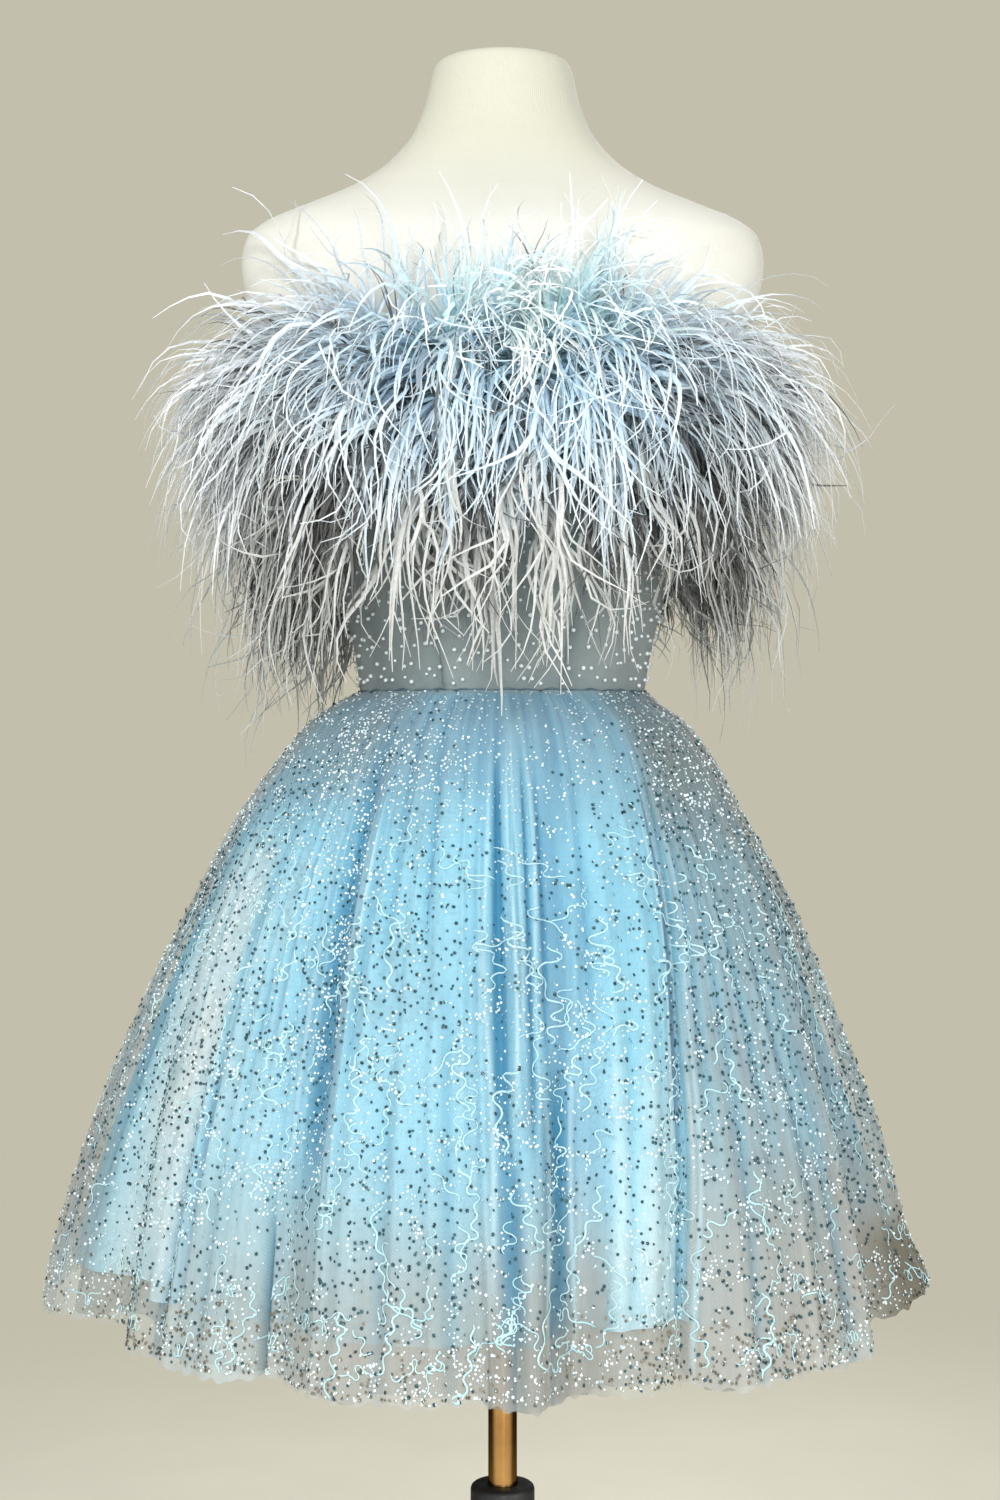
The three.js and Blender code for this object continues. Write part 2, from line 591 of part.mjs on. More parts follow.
function roundBase() {
  const { radius, thick, edge, hubRadius, hubTop } = BASE;
  const socket = TUBE.radius + SEAM_GAP;
  return turned("stand_base", "black_metal", [
    [0, 0],
    [radius - edge / 2, 0],
    [radius, edge / 2],
    [radius, thick - edge],
    [radius - edge, thick],
    [hubRadius + 20, thick + 3],
    [hubRadius, thick + 10],
    [hubRadius - 6, hubTop - 3],
    [hubRadius - 9, hubTop],
    [socket, hubTop],
    [socket, thick],
    [0, thick],
  ]);
}

// The lower tube, which the pole slides in, with a hole near its top for the clamp screw.
function lowerTube() {
  const bottom = BASE.thick + SEAM_GAP;
  const body = turned("tube_body", "black_metal", [
    [TUBE.inner, bottom],
    [TUBE.radius, bottom],
    [TUBE.radius, TUBE.top],
    [TUBE.inner, TUBE.top],
    [TUBE.inner, bottom],
  ]);
  return cut("stand_tube", "black_metal", body, screwRod(KNOB.screwRadius + KNOB.running, 0, 2 * TUBE.radius));
}

// The clamp collar sits over the top of the tube, with a hole at the back for the clamp screw.
function clampCollar() {
  const bore = TUBE.radius + SEAM_GAP;
  const shelf = TUBE.top + SEAM_GAP;
  const { radius, bottom, top, edge } = COLLAR;
  const body = turned("collar_body", "black_metal", [
    [bore, bottom],
    [radius - edge / 2, bottom],
    [radius, bottom + edge / 2],
    [radius, top - edge],
    [radius - edge, top],
    [TUBE.inner, top],
    [TUBE.inner, shelf],
    [bore, shelf],
    [bore, bottom],
  ]);
  return cut("stand_collar", "black_metal", body, screwRod(KNOB.screwRadius + KNOB.running, 0, 2 * radius));
}

// A rod along +Y at the clamp's height.
function screwRod(radius, from, to) {
  const rod = new THREE.CylinderGeometry(radius, radius, to - from, 24);
  return new THREE.Mesh(rod.translate(0, (from + to) / 2, KNOB.z));
}

// The clamp knob: a screw that bears on the pole, with a lobed grip outside the collar.
function clampKnob() {
  const grip = new THREE.Shape();
  const steps = 8 * KNOB.lobes;
  for (let i = 0; i < steps; i++) {
    const angle = (2 * Math.PI * i) / steps;
    const radius = KNOB.gripRadius * (1 - 0.09 * (1 - Math.cos(KNOB.lobes * angle)));
    grip[i ? "lineTo" : "moveTo"](radius * Math.cos(angle), radius * Math.sin(angle));
  }
  grip.closePath();
  const geometry = new THREE.ExtrudeGeometry(grip, { depth: KNOB.gripLength, bevelEnabled: false });
  const start = COLLAR.radius + 5;
  geometry.rotateX(-Math.PI / 2).translate(0, start, KNOB.z);
  const screw = screwRod(KNOB.screwRadius, POLE.radius + SEAM_GAP, start + 1);
  return joined("clamp_knob", "black_metal", new THREE.Mesh(geometry), screw);
}

function pole() {
  const top = FORM_SECTIONS[0].z - FLANGE.thick - SEAM_GAP;
  return turned("pole", "brass", [
    [0, POLE.bottom],
    [POLE.radius, POLE.bottom],
    [POLE.radius, top - 1],
    [POLE.radius - 1, top],
    [0, top],
  ]);
}

// The flange under the form: a plate with a sleeve that turns on the pole's top.
function formFlange() {
  const top = FORM_SECTIONS[0].z - SEAM_GAP;
  const bore = POLE.radius + FLANGE.running;
  const bottom = top - FLANGE.sleeveLength;
  return turned("form_flange", "black_metal", [
    [0, top - FLANGE.thick + SEAM_GAP],
    [bore, top - FLANGE.thick + SEAM_GAP],
    [bore, bottom],
    [FLANGE.sleeveRadius, bottom],
    [FLANGE.sleeveRadius, top - FLANGE.thick - 6],
    [FLANGE.sleeveRadius + 6, top - FLANGE.thick],
    [FLANGE.radius, top - FLANGE.thick],
    [FLANGE.radius, top],
    [0, top],
  ]);
}

// ---------------------------------------------------------------- the whole

const stand = new THREE.Group().add(roundBase(), lowerTube(), clampCollar(), clampKnob(), pole());

const figure = new THREE.Group().add(formFlange(), dressForm());

const dress = new THREE.Group().add(
  ...BODICE_PANELS.map(bodicePanel),
  ...FRINGE_ROWS.map(fringeRow),
  ...SKIRT_LAYERS.flatMap((layer) => SKIRT_PANELS.map((panel) => skirtPanel(layer, panel))),
  zipTape(),
  zipSlider(),
  pullTab(),
);

export default new THREE.Group().add(stand, figure, dress);
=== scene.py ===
# %% [markdown]
# # A homecoming dress on its dress form
# The dress has a strapless bodice under three rows of ostrich fringe and a short gathered skirt: sequinned
# tulle over light blue satin over a net petticoat. It hangs on a cream jersey form with a brass pole.
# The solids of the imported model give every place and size. Each piece is made again here with its fine
# folds, strands and sequins, from the same tables of sections, so it lies on its solid with no fitting.

# %% Load the model
# fmt: off
import itertools
import math

import bpy
import numpy as np
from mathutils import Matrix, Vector


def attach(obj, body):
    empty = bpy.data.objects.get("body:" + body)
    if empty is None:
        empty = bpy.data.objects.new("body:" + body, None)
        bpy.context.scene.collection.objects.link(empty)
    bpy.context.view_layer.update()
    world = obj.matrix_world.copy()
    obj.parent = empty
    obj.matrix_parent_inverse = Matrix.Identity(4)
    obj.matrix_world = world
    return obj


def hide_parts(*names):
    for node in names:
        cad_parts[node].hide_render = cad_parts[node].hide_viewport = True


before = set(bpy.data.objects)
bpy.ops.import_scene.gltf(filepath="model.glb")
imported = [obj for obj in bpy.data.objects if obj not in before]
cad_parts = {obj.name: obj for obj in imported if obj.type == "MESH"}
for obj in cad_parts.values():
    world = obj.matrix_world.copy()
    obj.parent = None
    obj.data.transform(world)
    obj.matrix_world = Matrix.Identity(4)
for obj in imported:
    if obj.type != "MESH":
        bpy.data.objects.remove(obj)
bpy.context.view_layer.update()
scene = bpy.context.scene

# %% [markdown]
# ## Camera
# The view is level, from the front, at the height of the waist, and about 1.85 m away. A long lens keeps
# the shoulders and the hem in proportion, as a portrait lens does.

# %% Camera
camera = bpy.data.objects.new("camera", bpy.data.cameras.new("camera"))
scene.collection.objects.link(camera)
scene.camera = camera
camera.location = (-0.002, -1.85, 0.993)
camera.rotation_euler = (math.radians(90), 0, 0)
camera.data.lens, camera.data.sensor_width = 56.9, 36

# %% [markdown]
# ## Helpers for meshes
# A piece with thousands of points is quickest to make from arrays: one array of points, one of faces, and
# `foreach_set` to hand them to Blender in one go. The tables are in millimetres, as the maker draws them,
# and `new_mesh` turns them into metres. A piece's `lay` attribute is where each point lies in the flat
# cloth, in metres, so that a weave follows the folds.

# %% Mesh helpers
METRES = 0.001  # in a millimetre


def new_mesh(name, points, faces, smooth=True):
    """A mesh from points in millimetres and faces that all have the same number of corners."""
    points, faces = np.asarray(points, float).reshape(-1, 3), np.asarray(faces, np.int32)
    mesh = bpy.data.meshes.new(name)
    mesh.vertices.add(len(points))
    mesh.vertices.foreach_set("co", (points * METRES).astype(np.float32).ravel())
    mesh.loops.add(faces.size)
    mesh.loops.foreach_set("vertex_index", faces.ravel())
    mesh.polygons.add(len(faces))
    mesh.polygons.foreach_set("loop_start", np.arange(0, faces.size, faces.shape[1], dtype=np.int32))
    mesh.polygons.foreach_set("use_smooth", np.full(len(faces), smooth))
    mesh.update(calc_edges=True)
    mesh.validate()
    return mesh


def new_piece(name, points, faces, materials, replaced=None, body="form", smooth=True):
    """An object that rides on a body, takes the given finishes and may stand for a CAD node."""
    piece = bpy.data.objects.new(name, new_mesh(name, points, faces, smooth))
    scene.collection.objects.link(piece)
    for each in materials if isinstance(materials, list) else [materials]:
        piece.data.materials.append(each)
    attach(piece, body)
    if replaced:
        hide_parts(replaced)
    return piece


def set_attribute(piece, name, values):
    """Stores a number, or a row of three, at every point of a piece."""
    values = np.asarray(values, np.float32).ravel()
    single = len(values) == len(piece.data.vertices)
    kind, field = ("FLOAT", "value") if single else ("FLOAT_VECTOR", "vector")
    piece.data.attributes.new(name, kind, "POINT").data.foreach_set(field, values)


def set_lay(piece, across, down):
    set_attribute(piece, "lay", np.stack([across, down, 0 * down], -1) * METRES)


def grid_faces(rows, columns, closed=False):
    """Quads between the points of a grid, row by row; a closed grid joins its last column to its first."""
    i, j = np.meshgrid(np.arange(rows - 1), np.arange(columns if closed else columns - 1), indexing="ij")
    k = (j + 1) % columns
    corners = [i * columns + j, i * columns + k, (i + 1) * columns + k, (i + 1) * columns + j]
    return np.stack(corners, -1).reshape(-1, 4)


def repeat_faces(faces, count, points_each):
    """The faces of a mesh of many small shapes that are all alike."""
    starts = (np.arange(count) * points_each)[:, None, None]
    return (np.asarray(faces)[None] + starts).reshape(-1, len(faces[0]))


def sharpen(piece, degrees=35):
    piece.data.set_sharp_from_angle(angle=math.radians(degrees))


# %% [markdown]
# ## Helpers for curves through tables
# Every section comes from a short table. A smooth curve runs through the rows and never overshoots them,
# because its slope at a row is the harmonic mean of the slopes on each side.

# %% Curves through tables
def curve_through(rows):
    """For rows of (key, value, ...), a function that gives each value column at any keys."""
    rows = np.asarray(rows, float)
    keys, values = rows[:, 0], rows[:, 1:]
    slopes = np.diff(values, axis=0) / np.diff(keys)[:, None]
    both = slopes[:-1] * slopes[1:]
    total = np.where(both > 0, slopes[:-1] + slopes[1:], 1)
    tangents = np.concatenate([slopes[:1], np.where(both > 0, 2 * both / total, 0), slopes[-1:]])

    def columns(at):
        at = np.clip(at, keys[0], keys[-1])
        i = np.clip(np.searchsorted(keys, at) - 1, 0, len(keys) - 2)
        span = (keys[i + 1] - keys[i])[..., None]
        t = (at - keys[i])[..., None] / span
        level = values[i] * (2 * t**3 - 3 * t**2 + 1) + values[i + 1] * (3 * t**2 - 2 * t**3)
        slope = tangents[i] * (t**3 - 2 * t**2 + t) + tangents[i + 1] * (t**3 - t**2)
        return np.moveaxis(level + span * slope, -1, 0)

    return columns


def smoothstep(x, low, high):
    t = np.clip((x - low) / (high - low), 0, 1)
    return t * t * (3 - 2 * t)


def hump(x, centre, half, power=2):
    """A soft bump of height 1 about a centre; a higher power gives it a flatter top."""
    return np.exp(-(((x - centre) / half) ** power))


def sine(degrees):
    return np.sin(np.radians(degrees))


def mix(a, b, share):
    return a + (b - a) * share


def unit(vectors):
    return vectors / np.maximum(np.linalg.norm(vectors, axis=-1, keepdims=True), 1e-9)


# %% [markdown]
# ## Shader groups
# Four effects are used by more than one finish, so each is a node group: crossing threads, a slow drift of
# tone, fine scratches and fine pleats. Each is built once and placed with its own values. In the helpers a
# source is a node and its output, so that what one helper returns can feed the next.

# %% Helpers for shader nodes
def feed(tree, taker, feeds):
    """Fills a node's inputs, each from a source, given as (node, output), or with a plain value."""
    for entry, given in feeds.items():
        if isinstance(given, tuple) and isinstance(given[0], bpy.types.Node):
            tree.links.new(given[0].outputs[given[1]], taker.inputs[entry])
        else:
            taker.inputs[entry].default_value = given


def node(tree, kind, feeds=None, **values):
    """A node of a kind; each value names one of its settings or one of its inputs."""
    made = tree.nodes.new("ShaderNode" + kind)
    for key, value in values.items():
        if hasattr(made, key):
            setattr(made, key, value)
        else:
            made.inputs[key.replace("_", " ")].default_value = value
    feed(tree, made, feeds or {})
    return made


def place(tree, group, feeds=None, **values):
    return node(tree, "Group", feeds, node_tree=group, **values)


def reckon(tree, operation, *terms, **values):
    """The answer of a Math node, as a source."""
    return node(tree, "Math", dict(enumerate(terms)), operation=operation, **values), 0


def blend(tree, share, first, second):
    """A mix of two colours, as a source."""
    return node(tree, "Mix", {0: share, 6: first, 7: second}, data_type="RGBA"), 2


def stored(tree, name, output="Fac"):
    """What a piece's attribute holds, as a source."""
    return node(tree, "Attribute", attribute_name=name), output


def on_object(tree):
    """Where a point lies in the object, as a source."""
    return node(tree, "TexCoord"), "Object"


def new_group(name, inputs, outputs):
    """A shader node group; inputs are name: default, None for a vector, and outputs are name: kind."""
    group = bpy.data.node_groups.new(name, "ShaderNodeTree")
    for label, default in inputs.items():
        kind = "Vector" if default is None else "Float" if isinstance(default, float) else "Color"
        socket = group.interface.new_socket(label, in_out="INPUT", socket_type=f"NodeSocket{kind}")
        if default is not None:
            socket.default_value = default
    for label, kind in outputs.items():
        group.interface.new_socket(label, in_out="OUTPUT", socket_type=f"NodeSocket{kind}")
    return group, group.nodes.new("NodeGroupInput"), group.nodes.new("NodeGroupOutput")


# %% Group: crossing threads
THREADS, inside, out = new_group(
    "crossing threads", {"Vector": None, "Across": 900.0, "Down": 900.0, "Uneven": 0.3}, {"Height": "Float"}
)
split = node(THREADS, "SeparateXYZ", {0: (inside, "Vector")})
waves = [
    reckon(THREADS, "SINE", reckon(THREADS, "MULTIPLY", (split, axis), (inside, way)))
    for axis, way in (("X", "Across"), ("Y", "Down"))
]
noise = node(THREADS, "TexNoise", {"Vector": (inside, "Vector")}, Scale=220.0, Detail=2.0)
rough = reckon(THREADS, "MULTIPLY", (noise, "Fac"), (inside, "Uneven"))
feed(THREADS, out, {"Height": reckon(THREADS, "ADD", reckon(THREADS, "MULTIPLY", *waves), rough)})

# %% Group: drift of tone
DRIFT, inside, out = new_group(
    "drift of tone",
    {"Light": (1, 1, 1, 1), "Dark": (0, 0, 0, 1), "Scale": 12.0, "Mask": 0.0},
    {"Color": "Color", "Factor": "Float"},
)
where = {"Vector": on_object(DRIFT), "Scale": (inside, "Scale")}
noise = node(DRIFT, "TexNoise", where, Detail=4.0, Roughness=0.6)
spread = node(DRIFT, "MapRange", {"Value": (noise, "Fac")}, From_Min=0.32, From_Max=0.7)
total = reckon(DRIFT, "ADD", (spread, "Result"), (inside, "Mask"), use_clamp=True)
feed(DRIFT, out, {"Color": blend(DRIFT, total, (inside, "Light"), (inside, "Dark")), "Factor": total})

# %% Group: fine scratches
SCRATCHES, inside, out = new_group(
    "fine scratches",
    {"Along": 14.0, "Across": 900.0, "Low": 0.2, "High": 0.45},
    {"Roughness": "Float", "Height": "Float"},
)
sizes = {"X": (inside, "Across"), "Y": (inside, "Across"), "Z": (inside, "Along")}
size = (node(SCRATCHES, "CombineXYZ", sizes), 0)
stretch = node(SCRATCHES, "VectorMath", {0: on_object(SCRATCHES), 1: size}, operation="MULTIPLY")
noise = node(SCRATCHES, "TexNoise", {"Vector": (stretch, 0)}, Scale=1.0, Detail=3.0)
ends = {"Value": (noise, "Fac"), "To Min": (inside, "Low"), "To Max": (inside, "High")}
gloss = node(SCRATCHES, "MapRange", ends, From_Min=0.3, From_Max=0.7)
feed(SCRATCHES, out, {"Roughness": (gloss, "Result"), "Height": (noise, "Fac")})

# %% Group: fine pleats
# Thin streaks run down the cloth, as where many thicknesses of a fine cloth lie together.
PLEATS, inside, out = new_group("fine pleats", {"Vector": None, "Strength": 0.1}, {"Streak": "Float"})
streaks = {0: (inside, "Vector"), 1: (330.0, 11.0, 1.0)}  # many across the cloth, few down it
stretch = node(PLEATS, "VectorMath", streaks, operation="MULTIPLY")
noise = node(PLEATS, "TexNoise", {"Vector": (stretch, 0)}, Scale=1.0, Detail=3.0, Roughness=0.65)
centred = reckon(PLEATS, "SUBTRACT", (noise, "Fac"), 0.5)
feed(PLEATS, out, {"Streak": reckon(PLEATS, "MULTIPLY", centred, (inside, "Strength"))})
print("groups:", [group.name for group in bpy.data.node_groups])


# %% Helpers for materials
def new_material(name, **values):
    """A material with one Principled shader whose plain sockets are set from the values."""
    material = bpy.data.materials.new(name)
    material.use_nodes = True
    tree = material.node_tree
    tree.nodes.clear()
    shader = node(tree, "BsdfPrincipled", **values)
    node(tree, "OutputMaterial", {0: (shader, 0)})
    return material, tree, shader


def add_bump(tree, shader, height, distance, strength):
    bump = node(tree, "Bump", {"Height": height}, Strength=strength, Distance=distance)
    feed(tree, shader, {"Normal": (bump, "Normal")})


def toned(name, light, dark, scale, **values):
    """A material whose colour drifts between two tones, with what a finish needs to go further."""
    material, tree, shader = new_material(name, **values)
    tone = place(tree, DRIFT, Light=(*light, 1), Dark=(*dark, 1), Scale=scale)
    feed(tree, shader, {"Base Color": (tone, "Color")})
    return material, tree, shader, tone


def woven(name, light, dark, scale, threads, bump, laid=False, **values):
    """A toned cloth or cord with raised threads; where it is laid, they follow the flat cloth."""
    material, tree, shader, tone = toned(name, light, dark, scale, **values)
    across, down, uneven = threads
    where = stored(tree, "lay", "Vector") if laid else on_object(tree)
    weave = place(tree, THREADS, {"Vector": where}, Across=across, Down=down, Uneven=uneven)
    add_bump(tree, shader, (weave, "Height"), *bump)
    return material, tree, shader, tone


def worn_metal(name, light, dark, scale, wear, bump, **values):
    """A toned metal with fine scratches in its gloss and its surface."""
    material, tree, shader, _ = toned(name, light, dark, scale, **values)
    along, across, low, high = wear
    scratches = place(tree, SCRATCHES, Along=along, Across=across, Low=low, High=high)
    feed(tree, shader, {"Roughness": (scratches, "Roughness")})
    add_bump(tree, shader, (scratches, "Height"), *bump)
    return material


# %% [markdown]
# ## Stage
# The floor is a pale disc whose rim fades into the pale backdrop, so the object can be seen from any side.
# A large soft lamp on the left of the front models the folds, weaker ones straight ahead and on the right
# open the shadows, and a lamp from behind lights the edges of the fringe. What metal mirrors is bright in
# front and dark at the sides and behind, which gives round metal its dark edges.

# %% Backdrop
world = bpy.data.worlds.new("pale studio")
scene.world = world
world.use_nodes = True
tree = world.node_tree
tree.nodes.clear()
way = node(tree, "SeparateXYZ", {0: (node(tree, "TexCoord"), "Generated")})
falloff = node(
    tree, "MapRange", {"Value": (way, "Y")}, From_Min=-0.75, From_Max=0.1, To_Min=1.5, To_Max=0.03,
    interpolation_type="SMOOTHSTEP",
)
sky = node(tree, "Background", Color=(1.0, 0.985, 0.95, 1), Strength=0.46)
mirrored = node(tree, "Background", {"Strength": (falloff, "Result")})
seen = node(tree, "Background", Color=(0.545, 0.52, 0.415, 1), Strength=1.0)
path = node(tree, "LightPath")
either = node(tree, "MixShader", {0: (path, "Is Glossy Ray"), 1: (sky, 0), 2: (mirrored, 0)})
choice = node(tree, "MixShader", {0: (path, "Is Camera Ray"), 1: (either, 0), 2: (seen, 0)})
node(tree, "OutputWorld", {0: (choice, 0)})
scene.view_settings.view_transform, scene.view_settings.look = "Standard", "None"

# %% Floor
floor_material, tree, shader, _ = toned(
    "pale floor", (0.74, 0.72, 0.60), (0.69, 0.67, 0.56), 3.0, Roughness=0.7
)
reach = node(tree, "VectorMath", {0: on_object(tree)}, operation="LENGTH")
fade = node(
    tree, "MapRange", {"Value": (reach, "Value")}, From_Min=1.1, From_Max=2.6, To_Min=1.0, To_Max=0.0,
    interpolation_type="SMOOTHSTEP",
)
feed(tree, shader, {"Alpha": (fade, "Result")})


def spun(radius, angles, z):
    """Points at radii, angles in radians and heights round the pole's axis."""
    return np.stack(np.broadcast_arrays(radius * np.cos(angles), radius * np.sin(angles), z), -1)


RINGS, SPOKES = 12, 48
angles = np.radians(np.arange(SPOKES) * 7.5)
disc = spun(np.linspace(20, 2650, RINGS)[:, None], angles, -0.5)
floor = bpy.data.objects.new("floor", new_mesh("floor", disc, grid_faces(RINGS, SPOKES, closed=True)))
scene.collection.objects.link(floor)
floor.data.materials.append(floor_material)

# %% Lamps
LAMPS = {  # place, height of the point that it faces, size, watts, colour
    "key lamp": ((-1.5, -2.2, 2.6), 1.05, 0.9, 49, (1, 1, 1)),
    "front lamp": ((0.4, -3.0, 1.25), 1.1, 1.6, 46, (1, 1, 1)),
    "fill lamp": ((2.4, -2.0, 1.5), 1.0, 1.4, 24, (1, 0.98, 0.94)),
    "back lamp": ((0.8, 2.4, 2.4), 1.1, 1.4, 42, (1, 0.99, 0.97)),
}
for name, (place_at, faced, size, watts, colour) in LAMPS.items():
    lamp = bpy.data.objects.new(name, bpy.data.lights.new(name, "AREA"))
    scene.collection.objects.link(lamp)
    lamp.location, lamp.rotation_mode = place_at, "QUATERNION"
    lamp.rotation_quaternion = (Vector((0, 0, faced)) - Vector(place_at)).to_track_quat("-Z", "Y")
    lamp.data.size, lamp.data.energy, lamp.data.color = size, watts, colour

# %% [markdown]
# ## Dress form
# The form is padded and covered in stretched cream jersey: one smooth body from the neck to below the hips,
# with no joints. Superellipse sections through the table give its outline, and a soft swelling on each side
# of the front gives the bust. The jersey has a fine knit and a slight drift of tone. Its neck is a deeper
# cream, darkened partly as painted shade, and the outer shoulder caps are darkened as painted shade.

# %% The form's sections
WAIST_Z = 1038
FORM_SECTIONS = [  # height, half width, reach to the front, reach to the back, squareness
    (760, 150, 98, 102, 2.2), (768, 161, 106, 112, 2.2), (800, 166, 110, 119, 2.2), (850, 168, 107, 122, 2.2),
    (900, 160, 101, 116, 2.2), (950, 141, 94, 101, 2.1), (985, 122, 88, 89, 2.05), (1012, 110, 84, 81, 2),
    (1038, 107, 82, 78, 2), (1064, 110, 84, 79, 2), (1100, 119, 92, 84, 2.05), (1140, 130, 101, 90, 2.1),
    (1180, 140, 108, 94, 2.15), (1215, 146, 110, 97, 2.2), (1250, 150, 106, 99, 2.3),
    (1285, 158, 97, 99, 2.5), (1315, 186, 86, 97, 2.9), (1345, 199, 77, 92, 3), (1370, 203, 69, 85, 2.9),
    (1390, 199, 63, 78, 2.7), (1403, 185, 60, 73, 2.4), (1415, 157, 59, 69, 2.2), (1431, 118, 58, 65, 2.1),
    (1450, 89, 57, 61, 2), (1474, 69, 56, 57, 2), (1500, 59, 54, 54, 2), (1518, 55, 52, 50, 2),
    (1527, 51, 48, 46, 2), (1530, 40, 38, 35, 2),
]
CUP_X, CUP_Z, CUP_DEPTH, CUP_WIDE, CUP_TALL = 68, 1207, 17, 52, 46
form_table = curve_through(FORM_SECTIONS)


def cup_share(x, z):
    """How near a place on the front is to the middle of a cup, from 0 to 1."""
    return np.exp(-(((np.abs(x) - CUP_X) / CUP_WIDE) ** 2) - ((z - CUP_Z) / CUP_TALL) ** 2)


def form_point(turn, z, out=0.0):
    """Points of the form's surface at turn angles and heights, moved out; 0 degrees is the centre front."""
    turn, z, out = np.broadcast_arrays(np.asarray(turn, float), z, out)
    side, front, back, square = form_table(z)
    across, ahead = (np.sign(v) * np.abs(v) ** (2 / square) for v in (sine(turn), np.cos(np.radians(turn))))
    x = (side + out) * across
    depth = np.where(ahead > 0, front, back) + out
    cup = CUP_DEPTH * cup_share(x, z) * np.sqrt(np.clip(ahead, 0, 1))
    return np.stack([x, -depth * ahead - cup, z], -1)


# %% The jersey
jersey, tree, shader, tone = woven(
    "stretched cream jersey", (0.79, 0.79, 0.74), (0.72, 0.715, 0.655), 7.0, (3800.0, 2600.0, 0.7),
    (0.0004, 0.5), laid=True, Roughness=0.85, Sheen_Weight=0.25, Sheen_Roughness=0.5,
    Specular_IOR_Level=0.25,
)
# The neck's deeper cream darkens it, partly as painted shade; the outer shoulder caps get painted shade.
yellow_shade_tone = (0.64, 0.635, 0.52, 1)
feed(tree, shader, {"Base Color": blend(tree, stored(tree, "yellowing_and_shade"), (tone, "Color"), yellow_shade_tone)})

# %% The form's body
COLUMNS_ROUND, UNDERSIDE, NECK_TOP = 128, 760.0, 1530
turns = np.linspace(-180, 180, COLUMNS_ROUND, endpoint=False)
rounded = [1521, 1524, 1526, 1528, 1529.3, NECK_TOP]  # the neck's top edge
heights = np.concatenate([np.linspace(UNDERSIDE, 1380, 66), np.linspace(1384, 1518, 36), rounded])
grid = form_point(turns[None, :], heights[:, None])
rim, under = grid[-1] - [0, 0, NECK_TOP], form_point(turns, UNDERSIDE)
middle = np.array([0, rim[:, 1].mean(), 0])
top = [rim * k + middle * (1 - k) + [0, 0, NECK_TOP - 1.2 * (1 - k) ** 2] for k in (0.75, 0.5, 0.25, 0.05)]
bottom = [under * [k, k, 1] - [0, 0, 0.5 * k] for k in (0.05, 0.3, 0.7, 0.97)]
grid = np.concatenate([bottom, grid, top])
faces = grid_faces(len(grid), COLUMNS_ROUND, closed=True)
form = new_piece("form_body", grid, faces, jersey, "dress_form")
around = np.linalg.norm(np.diff(grid, axis=1, append=grid[:, :1]), axis=2).cumsum(axis=1)
set_lay(form, around, grid[..., 2])
# Painted shade on the outer shoulder caps, and the neck's deeper cream, which is partly painted shade.
shoulder_shade = 0.32 * smoothstep(np.abs(grid[..., 0]), 105, 185)
set_attribute(form, "yellowing_and_shade", np.maximum(smoothstep(grid[..., 2], 1370, 1475), shoulder_shade))
print("form:", len(faces), "faces")

# %% [markdown]
# ## Stand
# The stand is turned metal: a round black base, a black tube with a clamp collar, a brass pole that slides
# in it, and a flange under the form. A profile spun about the pole's axis gives each one, with the corners
# broken by small chamfers that catch the light.

# %% Metals
brass = worn_metal(
    "polished brass", (0.48, 0.27, 0.085), (0.33, 0.17, 0.05), 26.0, (9.0, 1500.0, 0.1, 0.24), (0.00004, 0.4),
    Metallic=1.0, Specular_Tint=(0.05, 0.02, 0.01, 1),
)
black_metal = worn_metal(
    "black enamelled metal", (0.014, 0.014, 0.015), (0.035, 0.035, 0.036), 40.0, (220.0, 260.0, 0.4, 0.62),
    (0.0001, 0.3), Metallic=0.3, Coat_Weight=0.06, Coat_Roughness=0.3,
)

# %% Turned pieces
TURNED = {  # the node that it stands for, the body, the segments, and a profile of radii and heights
    "round_base": ("stand_base", "stand", 160, [
        (0, 0), (166, 0), (168.5, 0.7), (170, 2), (170, 8), (169.2, 10), (167, 11.6), (163, 12.2),
        (120, 13.2), (60, 14.6), (50, 15.4), (42, 17.5), (36, 21), (32.6, 25), (31, 30), (30, 36), (28, 40),
        (26, 41.5), (24, 43.4), (22.6, 44), (15.4, 44), (14.3, 43), (14.3, 12), (0, 12),
    ]),
    "lower_tube": ("stand_tube", "stand", 96, [
        (11.5, 12.3), (14, 12.3), (14, 395.4), (13.4, 396), (12.1, 396), (11.5, 395.4),
    ]),
    "clamp_collar": ("stand_collar", "stand", 96, [
        (14.3, 356), (23, 356), (24.4, 356.6), (25, 358), (25, 366), (24.4, 366.6), (24.4, 368.4), (25, 369),
        (25, 417), (24.2, 419.4), (22.6, 420.7), (21, 421), (12.4, 421), (11.5, 420), (11.5, 396.3),
        (14.3, 396.3),
    ]),
    "brass_pole": ("pole", "pole", 96, [
        (0, 150), (10.4, 150), (11.2, 150.8), (11.2, 753.5), (10.9, 754.4), (10.2, 754.7), (0, 754.7),
    ]),
    "flange": ("form_flange", "form", 96, [
        (0, 755), (11.29, 755), (11.29, 698.5), (12, 697.7), (15.2, 697.7), (16, 698.5), (16, 745),
        (16.8, 749), (19, 752.4), (22, 754.3), (26, 754.9), (61, 754.7), (62, 755.6), (62, 758.7),
        (61, 759.6), (0, 759.7),
    ]),
}
for name, (replaced, body, segments, profile) in TURNED.items():
    radius, z = np.array(profile, float).T[:, :, None]
    rings = spun(np.maximum(radius, 0.02), np.linspace(0, 2 * math.pi, segments, endpoint=False), z)
    # One ring too many, and the faces count on from the last ring to the first.
    faces = grid_faces(len(rings) + 1, segments, closed=True) % (len(rings) * segments)
    metal, slot = (brass, "brass") if name == "brass_pole" else (black_metal, "black_metal")
    sharpen(new_piece(name, rings, faces, metal, replaced, body))

